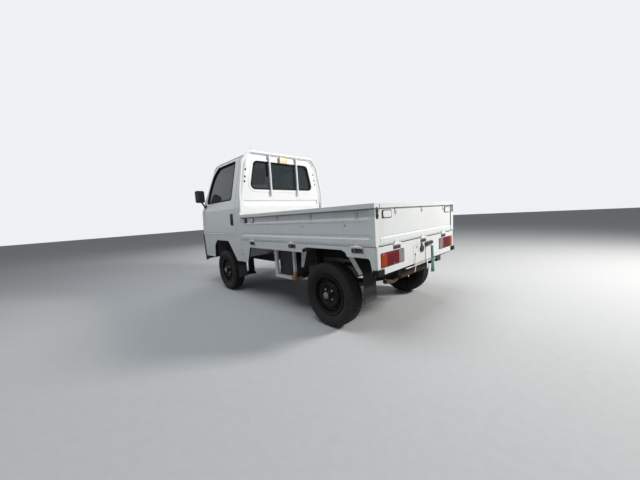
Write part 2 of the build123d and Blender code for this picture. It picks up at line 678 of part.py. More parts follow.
tail_half = gate_inner - END_CAP - SHUT_GAP
tail_gate = side_shape([(bed_rear + GATE_THICK - out * GATE_THICK / 40, z) for out, z in gate_section],
                       -tail_half, tail_half)
TAIL_FACE = 7         # of the tail gate's flat skin, ahead of its lip
for y in (-tail_half, tail_half - END_FRAME):
    tail_gate = tail_gate + block(bed_rear + TAIL_FACE, bed_rear + GATE_THICK, y, y + END_FRAME,
                                  GATE_BOTTOM + 12, LIP_BOTTOM)
tail_gate = tail_gate - block(bed_rear, bed_rear + TAIL_FACE, -WIDTH, WIDTH, 756, LIP_BOTTOM - 2)
tail_gate = tail_gate + block(bed_rear + TAIL_FACE, bed_rear + 20, -tail_half, tail_half, 756, LIP_BOTTOM)
for y in TAIL_HOOKS:
    tail_gate = tail_gate + rope_hook((bed_rear + 6, y, LIP_BOTTOM), (0, -1, 0))
tail_latch = front_shape(
    [(tail_half - 142, LIP_BOTTOM - 66), (tail_half - 40, LIP_BOTTOM - 66),
     (tail_half - 40, LIP_BOTTOM - 20), (tail_half - 142, LIP_BOTTOM - 20)],
    bed_rear + 1, bed_rear + 14, 16)
tail_gate = tail_gate + tail_latch + other_side(tail_latch)

# Gate hinges: a knuckle on the gate between two on a bracket, round one pin
HINGE_RADIUS = 7
HINGE_PIN_RADIUS = 3
HINGE_GATE_LENGTH = 50
HINGE_FRAME_LENGTH = 26
gate_axis_z = GATE_BOTTOM - 4
side_axis_y = half_width + 3
tail_axis_x = bed_rear - 3


def hinge(on_frame):
    """A hinge along X at the origin, gate above and towards -Y: one half or the other."""
    half = HINGE_GATE_LENGTH / 2
    if on_frame:
        drop = gate_axis_z - TAIL_TOP - SHUT_GAP
        shape = rod((-half - HINGE_FRAME_LENGTH, 0, 0), (half + HINGE_FRAME_LENGTH, 0, 0), HINGE_PIN_RADIUS)
        for side in (-1, 1):
            near = side * (half + SEAT_GAP)
            far = side * (half + HINGE_FRAME_LENGTH)
            shape = shape + rod((near, 0, 0), (far, 0, 0), HINGE_RADIUS)
            shape = shape + block(near, far, -SILL_SETBACK - 5, -HINGE_PIN_RADIUS, -drop, 0)
        return shape
    knuckle = rod((-half, 0, 0), (half, 0, 0), HINGE_RADIUS) + block(-half, half, -12, -3, 0, 34)
    return knuckle - rod((-2 * half, 0, 0), (2 * half, 0, 0), HINGE_PIN_RADIUS + SEAT_GAP)


side_hinges_at = [(x, side_axis_y, gate_axis_z) for x in (bed_rear + 158, bed_rear + 904, bed_front - 246)]
tail_hinges_at = [(tail_axis_x, y, gate_axis_z) for y in (-430, 0, 430)]
turn_to_rear = Rot(0, 0, 90)
relief = HINGE_RADIUS + 1
for at in side_hinges_at:
    side_gate = side_gate - Pos(*at) * rod((-60, 0, 0), (60, 0, 0), relief)
    side_gate = side_gate + Pos(*at) * hinge(False)
    frame_half = Pos(*at) * hinge(True)
    sill = sill + frame_half
for at in tail_hinges_at:
    tail_gate = tail_gate - Pos(*at) * turn_to_rear * rod((-60, 0, 0), (60, 0, 0), relief)
    tail_gate = tail_gate + Pos(*at) * turn_to_rear * hinge(False)
    rear_panel = rear_panel - Pos(*at) * turn_to_rear * rod((-30, 0, 0), (30, 0, 0), relief)
    rear_panel = rear_panel + Pos(*at) * turn_to_rear * hinge(True)

# Window guard: a hoop on the posts with two bars bolted to the cab's back
GUARD_TOP = 1752
GUARD_TUBE = 17
GUARD_BARS = (214, -221)
PIN_INSET_LEFT = 227.5     # of the guard's two upright pins, from the body's sides
PIN_INSET_RIGHT = 202.5
guard_x = cab_back - 22
guard_foot_z = GATE_TOP + 34 + SEAT_GAP
hoop_points = [
    (guard_x, half_width - 30, guard_foot_z),
    (guard_x, half_width - 34, 1240),
    (guard_x, half_width - 97.5, 1600),
    (guard_x, half_width - 197.5, GUARD_TOP - GUARD_TUBE),
    (guard_x, 197.5 - half_width, GUARD_TOP - GUARD_TUBE),
    (guard_x, 97.5 - half_width, 1600),
    (guard_x, -half_width + 34, 1240),
    (guard_x, -half_width + 30, guard_foot_z),
]
hoop_path = FilletPolyline(*hoop_points, radius=[400, 110, 70, 70, 110, 400])
hoop_start = Plane(origin=hoop_path @ 0, z_dir=hoop_path % 0)
window_guard = sweep(hoop_start * Circle(GUARD_TUBE), path=hoop_path)
for y in GUARD_BARS:
    window_guard = window_guard + rod((guard_x, y, 1215), (guard_x, y, GUARD_TOP - GUARD_TUBE), 13)
    window_guard = window_guard + block(guard_x, cab_back - SEAT_GAP, y - 15, y + 15, 1208, 1240)
for y in (half_width - PIN_INSET_LEFT, PIN_INSET_RIGHT - half_width):
    window_guard = window_guard + rod((guard_x, y, GUARD_TOP - GUARD_TUBE), (guard_x, y, GUARD_TOP + 40), 5)

# Chassis rails and cross members
kick_rear = bed_front - 330
kick_front = bed_front - 100
rail_rear = bed_rear + PANEL_THICK + SEAT_GAP
rail_front = nose - 205
rail_points = [
    (rail_rear, RAIL_TOP_REAR - RAIL_HEIGHT), (kick_rear, RAIL_TOP_REAR - RAIL_HEIGHT),
    (kick_front, RAIL_TOP_FRONT - RAIL_HEIGHT), (rail_front, RAIL_TOP_FRONT - RAIL_HEIGHT),
    (rail_front, RAIL_TOP_FRONT), (kick_front, RAIL_TOP_FRONT),
    (kick_rear, RAIL_TOP_REAR), (rail_rear, RAIL_TOP_REAR),
]
rail = side_shape(rail_points, RAIL_MIDDLE - RAIL_WIDTH / 2, RAIL_MIDDLE + RAIL_WIDTH / 2,
                  [1, 60, 60, 1, 1, 60, 60, 1])
rail_inner = RAIL_MIDDLE - RAIL_WIDTH / 2 - SEAT_GAP
CROSS_WIDTH = 60
cross_members = []
for x, top in ((rail_rear, RAIL_TOP_REAR), (axle_rear + 160, RAIL_TOP_REAR),
               (kick_front + 40, RAIL_TOP_FRONT), (axle_front - 30, RAIL_TOP_FRONT),
               (rail_front - CROSS_WIDTH, RAIL_TOP_FRONT)):
    cross_members.append(block(x, x + CROSS_WIDTH, -rail_inner, rail_inner,
                               top - RAIL_HEIGHT + 10, top))

# Engine: one plain block between the rails, ahead of the rear axle
ENGINE_LENGTH = 440
ENGINE_BOTTOM = 225
engine_rear = axle_rear + 160 + CROSS_WIDTH + 40
engine = block(engine_rear, engine_rear + ENGINE_LENGTH, -rail_inner, rail_inner,
               ENGINE_BOTTOM, RAIL_TOP_REAR - 30)

# Exhaust: pipe from the engine, over the axle, to a silencer across the tail
SILENCER_RADIUS = 45
silencer_x = rail_rear + CROSS_WIDTH + 30
silencer_z = RAIL_TOP_REAR - RAIL_HEIGHT - SILENCER_RADIUS - 57
exhaust = rod((silencer_x, -225, silencer_z), (silencer_x, 250, silencer_z), SILENCER_RADIUS)
exhaust = exhaust + rod((silencer_x, 120, silencer_z), (engine_rear - SEAT_GAP, 120, silencer_z), 19)
TAIL_PIPE = 16
tail_pipe_path = FilletPolyline((silencer_x, 200, silencer_z - 27), (silencer_x - 20, 350, silencer_z - 37),
                                (bed_rear + 55, 520, silencer_z + 6), radius=60)
exhaust = exhaust + sweep(Plane(origin=tail_pipe_path @ 0, z_dir=tail_pipe_path % 0) * Circle(TAIL_PIPE),
                          path=tail_pipe_path)
hanger_top = RAIL_TOP_REAR - RAIL_HEIGHT + 10 - SEAT_GAP
for y in (-160, 160):
    exhaust = exhaust + block(silencer_x - 34, silencer_x - 28, y, y + 24, silencer_z, hanger_top)

# Rear axle: a beam with drums and hubs, under two leaf springs
BEAM_RADIUS = 32
DRUM_RADIUS = 100
disc_back = wheel_plane + DISC_FACE - RIM_WALL - SEAT_GAP
hub_tip = wheel_plane + TYRE_WIDTH / 2 + 10


def hub(x, inner):
    """A left-hand drum, flange and spigot that carry a wheel."""
    drum_outer = disc_back - 12
    shape = rod((x, inner, TYRE_RADIUS), (x, drum_outer, TYRE_RADIUS), DRUM_RADIUS)
    shape = shape + rod((x, drum_outer - 1, TYRE_RADIUS), (x, disc_back, TYRE_RADIUS), HUB_FLANGE_RADIUS)
    spigot = rod((x, disc_back - 1, TYRE_RADIUS), (x, hub_tip, TYRE_RADIUS), HUB_RADIUS)
    tip = spigot.edges().sort_by(Axis.Y)[-1]
    return shape + fillet(tip, 9)


left_hub = hub(axle_rear, wheel_plane - 40)
rear_axle = rod((axle_rear, -wheel_plane + 39, TYRE_RADIUS), (axle_rear, wheel_plane - 39, TYRE_RADIUS),
                BEAM_RADIUS)
rear_axle = rear_axle + left_hub + other_side(left_hub)
SPRING_HALF = 440
SPRING_WIDTH = 50
LEAF_THICK = 9
SPRING_RISE = 92
spring_seat = TYRE_RADIUS + BEAM_RADIUS + SEAT_GAP
rear_axle = rear_axle + pair(block(axle_rear - 45, axle_rear + 45, RAIL_MIDDLE - 30, RAIL_MIDDLE + 30,
                                   TYRE_RADIUS, spring_seat + 6))
spring_base = spring_seat + 6 + SEAT_GAP


def leaf(half, level):
    """One curved leaf, as a thin slice of a large ring, seen from the side."""
    bend = (SPRING_HALF ** 2 + SPRING_RISE ** 2) / (2 * SPRING_RISE)
    rise = bend - (bend ** 2 - half ** 2) ** 0.5
    z = spring_base + level * LEAF_THICK
    lower = ThreePointArc((axle_rear - half, z + rise), (axle_rear, z), (axle_rear + half, z + rise))
    upper = ThreePointArc((axle_rear + half, z + rise + LEAF_THICK), (axle_rear, z + LEAF_THICK),
                          (axle_rear - half, z + rise + LEAF_THICK))
    face = make_face([
        lower,
        Line((axle_rear + half, z + rise), (axle_rear + half, z + rise + LEAF_THICK)),
        upper,
        Line((axle_rear - half, z + rise + LEAF_THICK), (axle_rear - half, z + rise)),
    ])
    plane = Plane(origin=(0, RAIL_MIDDLE + SPRING_WIDTH / 2, 0), x_dir=(1, 0, 0), z_dir=(0, -1, 0))
    return extrude(plane * face, amount=SPRING_WIDTH)


spring = leaf(SPRING_HALF * 0.45, 0) + leaf(SPRING_HALF * 0.72, 1) + leaf(SPRING_HALF, 2)
eye_z = spring_base + 2 * LEAF_THICK + SPRING_RISE + LEAF_THICK
for end in (-1, 1):
    x = axle_rear + end * SPRING_HALF
    eye = rod((x, RAIL_MIDDLE - SPRING_WIDTH / 2, eye_z), (x, RAIL_MIDDLE + SPRING_WIDTH / 2, eye_z), 17)
    hanger = block(x - 16, x + 16, RAIL_MIDDLE - 30, RAIL_MIDDLE + 30, eye_z, RAIL_TOP_REAR - RAIL_HEIGHT - SEAT_GAP)
    spring = spring + eye + hanger

# Front suspension: lower arms on the chassis, and steered uprights with their struts
ARM_THICK = 26
arm_z = TYRE_RADIUS - 92
arm_inner = RAIL_MIDDLE + RAIL_WIDTH / 2
arm_points = [(axle_front - 75, arm_inner - 55), (axle_front + 75, arm_inner - 55),
              (axle_front + 20, kingpin + 20), (axle_front - 20, kingpin + 20)]
front_arm = plan_shape(arm_points, arm_z - ARM_THICK, arm_z, [8, 8, 18, 18])
arm_post = block(axle_front - 40, axle_front + 40, arm_inner - 55, arm_inner - 1,
                 arm_z - 1, RAIL_TOP_FRONT - RAIL_HEIGHT - SEAT_GAP)
front_arm = front_arm + arm_post
STRUT_RADIUS = 24
COIL_RADIUS = 41
strut_top = SEAT_DECK - FLOOR_THICK - SEAT_GAP
knuckle = Pos(axle_front, kingpin, 0) * rod((0, 0, arm_z + SEAT_GAP), (0, 0, strut_top), STRUT_RADIUS)
knuckle = knuckle + rod((axle_front, kingpin, TYRE_RADIUS), (axle_front, disc_back - 1, TYRE_RADIUS), 44)
coil_bottom = TYRE_RADIUS * 2 + 18
for turn in range(5):
    z = coil_bottom + 14 + turn * 26
    knuckle = knuckle + rod((axle_front, kingpin, z - 6), (axle_front, kingpin, z + 6), COIL_RADIUS)
knuckle = knuckle + hub(axle_front, disc_back - 50)

# Wheel arch liners over the rear wheels, with stays that carry the mud flaps
LINER_THICK = 4
LINER_INNER = 410
LINER_OUTER = sill_inner - 2
liner_path = [(axle_rear + 396, 450), (axle_rear + 378, 600), (axle_rear + 280, 648),
              (axle_rear - 196, 648), (axle_rear - 236, 590), (axle_rear - 318, 470)]
liner_inside = [(x - LINER_THICK if x > axle_rear else x + LINER_THICK, z - LINER_THICK)
                for x, z in liner_path]
rear_liner = side_shape(liner_path + liner_inside[::-1], LINER_INNER, LINER_OUTER)
stay_points = [(axle_rear - 196, 648), (axle_rear - 236, 590), (axle_rear - 318, 470),
               (axle_rear - 286, 454), (axle_rear - 194, 580), (axle_rear - 160, 640)]
rear_liner = rear_liner + side_shape(stay_points, LINER_OUTER - 5, LINER_OUTER)
flange_points = [(axle_rear + 396, 450), (axle_rear + 378, 600), (axle_rear + 280, 648),
                 (axle_rear + 310, 600), (axle_rear + 364, 450)]
rear_liner = rear_liner + side_shape(flange_points, LINER_OUTER - 5, LINER_OUTER)
liner_tab = block(axle_rear + 100, axle_rear + 160, LINER_INNER, LINER_INNER + 60,
                  645, DECK_TOP - DECK_THICK - SEAT_GAP)
rear_liner = rear_liner + liner_tab

# Front wheelhouses: an inner wall beside the rail, under the deck of the seats
FRONT_WALL = 352
front_liner = block(axle_front - 330, riser - FLOOR_THICK - SEAT_GAP, FRONT_WALL - LINER_THICK, FRONT_WALL,
                    RAIL_TOP_FRONT - 60, SEAT_DECK - FLOOR_THICK - SEAT_GAP)
front_liner = front_liner + block(axle_front - 334, axle_front - 330, FRONT_WALL - LINER_THICK, half_width - 60,
                                  CAB_BOTTOM, SEAT_DECK - FLOOR_THICK - SEAT_GAP)

# Mud flaps: both front wheels and the left rear one
FLAP_THICK = 6
rear_flap = side_shape([(axle_rear - 318 - SEAT_GAP, 472), (axle_rear - 324, 240),
                        (axle_rear - 324 - FLAP_THICK, 240), (axle_rear - 318 - SEAT_GAP - FLAP_THICK, 472)],
                       440, LINER_OUTER)
flap_x = axle_front - 392
front_flap = block(flap_x - FLAP_THICK, flap_x, half_width - 118.5, half_width - 12, 222, CAB_BOTTOM - SEAT_GAP)

# Battery box in its hanging frame, left, and the fuel tank, right
BATTERY_LENGTH = 262
BATTERY_WIDTH = 166
battery_rear = axle_rear + 479
battery_front = battery_rear + BATTERY_LENGTH
battery_outer = half_width - 101.5
battery_inner = battery_outer - BATTERY_WIDTH
battery_box = block(battery_rear, battery_front, battery_inner, battery_outer, 344 + SEAT_GAP, 588)
RIBS = 7
for n in range(RIBS):
    x = battery_rear + 18 + n * (BATTERY_LENGTH - 36) / (RIBS - 1)
    battery_box = battery_box + block(x - 5, x + 5, battery_outer - 1, battery_outer + 4, 360, 570)
frame_top = SILL_BOTTOM - SEAT_GAP
leg_inner = battery_outer + 10
leg_outer = leg_inner + 26
battery_frame = block(battery_rear - 26, battery_rear - 2, leg_inner, leg_outer, 318, frame_top)
battery_frame = battery_frame + block(battery_front + 2, battery_front + 40, leg_inner, leg_outer, 318, frame_top)
battery_frame = battery_frame + block(battery_rear - 26, battery_front + 40, battery_inner, leg_outer, 318, 344)
TANK_LENGTH = 460
TANK_WIDTH = 220
tank_rear = axle_rear + 449
tank_outer = 105.5 - half_width
tank_inner = tank_outer + TANK_WIDTH
tank = block(tank_rear, tank_rear + TANK_LENGTH, tank_outer, tank_inner, 300, 560)
tank = fillet(tank.edges().filter_by(Axis.X), 36)
for bearer in long_bearers[:2]:
    tank = tank + block(bearer + 7, bearer + 43, tank_outer + 52, tank_outer + 112, 559, RAIL_TOP_REAR)

# Tow eyes under the tail and the nose
TOW_BORE = 16
TOW_THICK = 12


def tow_eye(x, rail_bottom):
    """A plate with an eye, on the outer face of the left rail and hanging below it."""
    points = [(x - 34, rail_bottom + 52), (x + 34, rail_bottom + 52), (x + 34, rail_bottom - 10),
              (x + 26, rail_bottom - 64), (x - 26, rail_bottom - 64), (x - 34, rail_bottom - 10)]
    outer = RAIL_MIDDLE + RAIL_WIDTH / 2 + SEAT_GAP
    plate = side_shape(points, outer, outer + TOW_THICK, [6, 6, 16, 24, 24, 16])
    return plate - rod((x, 0, rail_bottom - 32), (x, WIDTH, rail_bottom - 32), TOW_BORE)


rear_eye = tow_eye(rail_rear + 95, RAIL_TOP_REAR - RAIL_HEIGHT)
front_eye = tow_eye(rail_front - 45, RAIL_TOP_FRONT - RAIL_HEIGHT)


# Wheels, modelled about the Y axis at the origin, outboard towards +Y
def make_tyre():
    bead = RIM_WIDTH / 2 - SEAT_GAP
    seat = BEAD_RADIUS + SEAT_GAP
    wall = BEAD_RADIUS + FLANGE_HEIGHT + 2
    bulge = TYRE_WIDTH / 2
    tread = TREAD_WIDTH / 2
    shoulder = TYRE_RADIUS - 12
    upper = (shoulder + wall) / 2
    sketch = make_face([
        Line((seat, -bead), (seat, bead)),
        Line((seat, bead), (wall, bead)),
        ThreePointArc((wall, bead), (upper, bulge), (shoulder, bulge - 10)),
        ThreePointArc((shoulder, bulge - 10), (TYRE_RADIUS - 5, tread + 5), (TYRE_RADIUS - 3, tread)),
        ThreePointArc((TYRE_RADIUS - 3, tread), (TYRE_RADIUS, 0), (TYRE_RADIUS - 3, -tread)),
        ThreePointArc((TYRE_RADIUS - 3, -tread), (TYRE_RADIUS - 5, -tread - 5), (shoulder, -bulge + 10)),
        ThreePointArc((shoulder, -bulge + 10), (upper, -bulge), (wall, -bead)),
        Line((wall, -bead), (seat, -bead)),
    ])
    return revolve(sketch, axis=Axis.Y)


def make_rim():
    """Barrel with bead flanges and a well, then the pressed disc with its hump and vents."""
    half = RIM_WIDTH / 2
    flange = BEAD_RADIUS + FLANGE_HEIGHT
    well = BEAD_RADIUS - WELL_DEPTH
    barrel_points = [
        (flange, half), (flange, half + 7), (flange - 5, half + 7), (BEAD_RADIUS - RIM_WALL, half + RIM_WALL),
        (BEAD_RADIUS - RIM_WALL, 22), (well - RIM_WALL, 12), (well - RIM_WALL, -18),
        (BEAD_RADIUS - RIM_WALL, -30), (BEAD_RADIUS - RIM_WALL, -half - RIM_WALL), (flange - 5, -half - 7),
        (flange, -half - 7), (flange, -half), (BEAD_RADIUS, -half), (BEAD_RADIUS, -28),
        (well, -16), (well, 10), (BEAD_RADIUS, 20), (BEAD_RADIUS, half),
    ]
    rim = revolve(make_face(Polyline(*barrel_points, close=True)), axis=Axis.Y)
    bore = HUB_RADIUS + SEAT_GAP
    face = DISC_FACE
    disc_points = [
        (bore, face), (HUB_FLANGE_RADIUS, face), (HUB_FLANGE_RADIUS + 14, face + 14), (98, face + 14),
        (118, face - 16), (132, face - 12), (BEAD_RADIUS - RIM_WALL + 1, face - 22),
        (BEAD_RADIUS - RIM_WALL + 1, face - 28), (132, face - 18),
        (116, face - 22), (96, face + 9), (HUB_FLANGE_RADIUS + 16, face + 9),
        (HUB_FLANGE_RADIUS + 2, face - RIM_WALL), (bore, face - RIM_WALL),
    ]
    rim = rim + revolve(make_face(Polyline(*disc_points, close=True)), axis=Axis.Y)
    for n in range(8):
        angle = radians(45 * n + 22.5)
        x, z = VENT_CIRCLE * cos(angle), VENT_CIRCLE * sin(angle)
        rim = rim - rod((x, 0, z), (x, RIM_WIDTH, z), VENT_RADIUS)
    return rim


tyre = make_tyre()
rim = make_rim()

# Write every piece
write("cab_roof", cab_roof)
write("cab_back", cab_back_panel)
write("cab_side_left", cab_side)
write("cab_side_right", other_side(cab_side))
write("cab_front", cab_front)
write("cab_floor", cab_floor)
write("cab_glass", Compound(children=[windscreen.solid(), rear_glass.solid()]))
write("dash", dash)
write("seats", pair(seat))
write("headlamps", pair(head_lamp))
write("front_signals", pair(turn_lamp))
write("front_bumper", front_bumper)
write("bed", deck)
write("bed_sills", pair(sill))
write("bed_bearers", Compound(children=[b.solid() for b in bearers]))
write("tail_strap", tail_strap)
write("headboard", headboard)
write("rear_panel", rear_panel)
write("tail_lamps", pair(tail_lamp))
write("corner_pads", pair(pad))
write("window_guard", window_guard)
write("bed_lamp", bed_lamp)
write("frame_rails", pair(rail))
write("cross_members", Compound(children=[m.solid() for m in cross_members]))
write("engine", engine)
write("exhaust", exhaust)
write("rear_axle", rear_axle)
write("leaf_springs", pair(spring))
write("front_arms", pair(front_arm))
write("rear_liners", pair(rear_liner))
write("front_liners", pair(front_liner))
write("mud_flaps", Compound(children=[rear_flap.solid(), *pair(front_flap).solids()]))
write("battery_box", battery_box)
write("battery_frame", battery_frame)
write("fuel_tank", tank)
write("tow_eyes", Compound(children=[rear_eye.solid(), front_eye.solid()]))
write("tail_gate", tail_gate)
write("steering_wheel", steering_wheel)
for side, turn in (("left", lambda s: s), ("right", other_side)):
    write(f"door_{side}", turn(door))
    write(f"door_glass_{side}", turn(door_glass))
    write(f"door_handle_{side}", turn(handle))
    write(f"door_mirror_{side}", turn(door_mirror))
    write(f"side_gate_{side}", turn(side_gate))
    write(f"knuckle_{side}", turn(knuckle))
    for end, x in (("front", axle_front), ("rear", axle_rear)):
        at = Pos(x, wheel_plane, TYRE_RADIUS)
        write(f"tyre_{end}_{side}", turn(at * tyre))
        write(f"rim_{end}_{side}", turn(at * rim))
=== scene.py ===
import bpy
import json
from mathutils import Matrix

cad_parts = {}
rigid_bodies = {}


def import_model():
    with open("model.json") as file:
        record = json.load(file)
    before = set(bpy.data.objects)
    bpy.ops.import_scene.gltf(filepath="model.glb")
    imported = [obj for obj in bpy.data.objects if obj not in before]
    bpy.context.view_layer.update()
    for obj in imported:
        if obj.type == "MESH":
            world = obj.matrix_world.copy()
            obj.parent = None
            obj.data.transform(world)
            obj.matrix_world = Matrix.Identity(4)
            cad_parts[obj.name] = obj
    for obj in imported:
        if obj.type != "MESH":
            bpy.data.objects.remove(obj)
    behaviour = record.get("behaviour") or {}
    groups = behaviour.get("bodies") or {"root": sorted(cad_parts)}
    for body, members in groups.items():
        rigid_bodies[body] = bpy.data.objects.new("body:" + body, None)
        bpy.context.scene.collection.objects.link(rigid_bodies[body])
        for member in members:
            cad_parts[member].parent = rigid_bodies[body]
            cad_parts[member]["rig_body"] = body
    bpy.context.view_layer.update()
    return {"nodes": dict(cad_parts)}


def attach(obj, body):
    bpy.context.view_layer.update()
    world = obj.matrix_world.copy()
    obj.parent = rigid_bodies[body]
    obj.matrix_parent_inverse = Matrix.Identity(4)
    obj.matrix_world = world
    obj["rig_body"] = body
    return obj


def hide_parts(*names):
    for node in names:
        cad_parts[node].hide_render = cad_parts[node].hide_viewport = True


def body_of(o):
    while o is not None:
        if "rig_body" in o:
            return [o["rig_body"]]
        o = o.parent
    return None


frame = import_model()

# %% [markdown]
# A small flat-bed truck, dressed over its engineering model. The model gives every panel its place,
# so this script only rounds the edges, adds the rubber, lenses, seams and small fittings, and paints.
# Numbers are metres; X runs forward, Y to the truck's left and Z up.

# %% Tools
import json
import math
import bmesh
import bpy
import numpy as np
from mathutils import Matrix, Vector
from mathutils.bvhtree import BVHTree

nodes = frame["nodes"]
SIDES = {"left": 1.0, "right": -1.0}
print("model nodes", len(nodes))

# %% [markdown]
# The camera stands behind the truck's left rear corner at waist height. It is a phone's very wide
# lens, so the near corner of the bed looks large. Solving the picture's straight lines gave the
# place and the three angles below, and the sensor is as wide as Blender's default.

# %% Camera
CAMERA_PLACE = (-2.58392, 2.11891, 0.92530)
CAMERA_TURN = (-43.6197, -5.5018, -3.4905)      # yaw, pitch and roll in degrees
LENS = 14.5375


def camera_axes(yaw, pitch, roll):
    """Right, up and back vectors: turn to the yaw, tip by the pitch, then roll about the view."""
    yaw, pitch, roll = (math.radians(a) for a in (yaw, pitch, roll))
    ahead = Vector((math.cos(pitch) * math.cos(yaw), math.cos(pitch) * math.sin(yaw), math.sin(pitch)))
    right = Vector((math.sin(yaw), -math.cos(yaw), 0.0))
    up = right.cross(ahead)
    rolled_right = math.cos(roll) * right + math.sin(roll) * up
    rolled_up = -math.sin(roll) * right + math.cos(roll) * up
    return rolled_right, rolled_up, -ahead


camera = bpy.data.objects.new("camera", bpy.data.cameras.new("camera"))
bpy.context.scene.collection.objects.link(camera)
right, up, back = camera_axes(*CAMERA_TURN)
camera.matrix_world = Matrix.Translation(CAMERA_PLACE) @ Matrix((right, up, back)).transposed().to_4x4()
camera.data.lens = LENS
camera.data.sensor_width = 36
camera.data.clip_start = 0.05
bpy.context.scene.camera = camera
print("camera at", CAMERA_PLACE)

# %% [markdown]
# The photograph's sun comes from behind the tail on the right, so the tail is bright and the near
# side lies in open shade, lit by the sky above. Here one lamp stands where the sun is, a wide one
# hangs overhead for the sky, a third lights the nose, and a pale world fills the rest. The camera
# and every reflection see a backdrop instead, which is why the world's strength doesn't show in
# them. The sum stays under clipping.

# %% Light
WORLD_LIGHT = 0.13
world = bpy.data.worlds.new("studio")
bpy.context.scene.world = world
world.use_nodes = True
sky = world.node_tree.nodes["Background"]
sky.inputs["Color"].default_value = (0.82, 0.92, 1.0, 1)
sky.inputs["Strength"].default_value = WORLD_LIGHT
backdrop = world.node_tree.nodes.new("ShaderNodeBackground")
backdrop.inputs["Color"].default_value = (0.86, 0.88, 0.90, 1)
path = world.node_tree.nodes.new("ShaderNodeLightPath")
either = world.node_tree.nodes.new("ShaderNodeMixShader")
seen = path.outputs["Is Camera Ray"]
for ray in ("Is Glossy Ray", "Is Transmission Ray"):
    most = world.node_tree.nodes.new("ShaderNodeMath")
    most.operation = "MAXIMUM"
    world.node_tree.links.new(seen, most.inputs[0])
    world.node_tree.links.new(path.outputs[ray], most.inputs[1])
    seen = most.outputs[0]
world.node_tree.links.new(seen, either.inputs[0])
world.node_tree.links.new(sky.outputs[0], either.inputs[1])
world.node_tree.links.new(backdrop.outputs[0], either.inputs[2])
world.node_tree.links.new(either.outputs[0], world.node_tree.nodes["World Output"].inputs["Surface"])


def add_lamp(name, place, target, power, size, colour):
    """A square area lamp that faces a point."""
    lamp = bpy.data.objects.new(name, bpy.data.lights.new(name, "AREA"))
    lamp.data.energy = power
    lamp.data.size = size
    lamp.data.color = colour
    lamp.location = place
    lamp.rotation_euler = (Vector(target) - Vector(place)).to_track_quat("-Z", "Y").to_euler()
    bpy.context.scene.collection.objects.link(lamp)


# name: place, the point it faces, watts, side of the square, colour
LAMPS = {
    "sun_side": ((-5.2, -3.4, 3.8), (0, 0, 0.6), 415, 1.2, (1.0, 0.97, 0.92)),
    "sky": ((-0.3, 1.9, 5.9), (-0.3, 0, 0.8), 178, 3.5, (0.93, 0.97, 1.0)),
    "front_fill": ((5.5, -4.2, 4.0), (0, 0, 0.8), 150, 4.0, (1.0, 1.0, 1.0)),
}
for lamp_name, values in LAMPS.items():
    add_lamp(lamp_name, *values)
bpy.context.scene.view_settings.view_transform = "Standard"
print("world at", WORLD_LIGHT, "with", len(LAMPS), "lamps")

# %% [markdown]
# A surface is a grid: one function of two parameters gives the points, and this helper joins
# neighbours with four-sided faces. Either way round the grid can close on itself, as a tyre's does.

# %% Grid meshes


def grid_faces(rows, columns, close_rows=False, close_columns=False):
    """Faces between point (i, j) and its neighbours, where point number is i * columns + j."""
    i = np.arange(rows if close_rows else rows - 1)[:, None]
    j = np.arange(columns if close_columns else columns - 1)[None, :]
    next_i = (i + 1) % rows
    next_j = (j + 1) % columns
    corners = (i * columns + j, i * columns + next_j, next_i * columns + next_j, next_i * columns + j)
    return np.stack(corners, -1).reshape(-1, 4)


def tube_faces(rows, count):
    """Faces of a tube made of closed rings, with a cap on the first ring and on the last."""
    last = (rows - 1) * count
    faces = [list(face) for face in grid_faces(rows, count, close_columns=True)]
    return faces + [list(range(count)), list(range(last + count - 1, last - 1, -1))]


def grid_border(rows, columns):
    """The numbers of the points on a grid's border, once round."""
    return np.concatenate([np.arange(columns), np.arange(1, rows) * columns + columns - 1,
                           (rows - 1) * columns + np.arange(columns - 2, -1, -1),
                           np.arange(rows - 2, 0, -1) * columns])


print("a 3 by 4 grid has", len(grid_faces(3, 4)), "faces and", len(grid_border(3, 4)), "border points")

# %% [markdown]
# Points and faces become a mesh, and a mesh becomes a piece. Doubled points are welded, faces are
# shaded smooth, and an edge that turns by more than the smooth angle stays sharp. A piece rides on
# one of the model's bodies and has one material.

# %% From points to pieces


def make_mesh(name, points, faces, smooth_angle=35, extra=()):
    """Points as an (n, 3) array and faces as rows of numbers; extra holds caps of any length."""
    mesh = bpy.data.meshes.new(name)
    rows = [list(map(int, face)) for face in faces] + [list(face) for face in extra]
    mesh.from_pydata(np.asarray(points, float).tolist(), [], rows)
    made = bmesh.new()
    made.from_mesh(mesh)
    bmesh.ops.remove_doubles(made, verts=made.verts, dist=1e-6)
    bmesh.ops.recalc_face_normals(made, faces=made.faces)
    made.to_mesh(mesh)
    made.free()
    mesh.polygons.foreach_set("use_smooth", np.ones(len(mesh.polygons), bool))
    mesh.set_sharp_from_angle(angle=math.radians(smooth_angle))
    return mesh


def point_values(mesh, kind="co"):
    """Each point's place, or with "normal" its normal, as an (n, 3) array."""
    values = np.zeros(len(mesh.vertices) * 3)
    mesh.vertices.foreach_get(kind, values)
    return values.reshape(-1, 3)


def join_points(parts):
    """Several (points, faces) pairs as one, with the later faces' numbers moved up."""
    points, faces, start = [], [], 0
    for p, f in parts:
        points.append(np.asarray(p, float))
        faces.extend([[int(k) + start for k in face] for face in f])
        start += len(p)
    return np.concatenate(points), faces


def place(name, mesh, body, material, slot):
    """A finished piece: it rides on a body and takes one material."""
    piece = bpy.data.objects.new(name, mesh)
    bpy.context.scene.collection.objects.link(piece)
    mesh.materials.clear()
    mesh.materials.append(material)
    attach(piece, body)
    return piece


def fitting(name, parts, body, material, slot, smooth_angle=35):
    """Several (points, faces) pairs, joined and placed as one piece."""
    return place(name, make_mesh(name, *join_points(parts), smooth_angle), body, material, slot)


print("pieces can be placed")


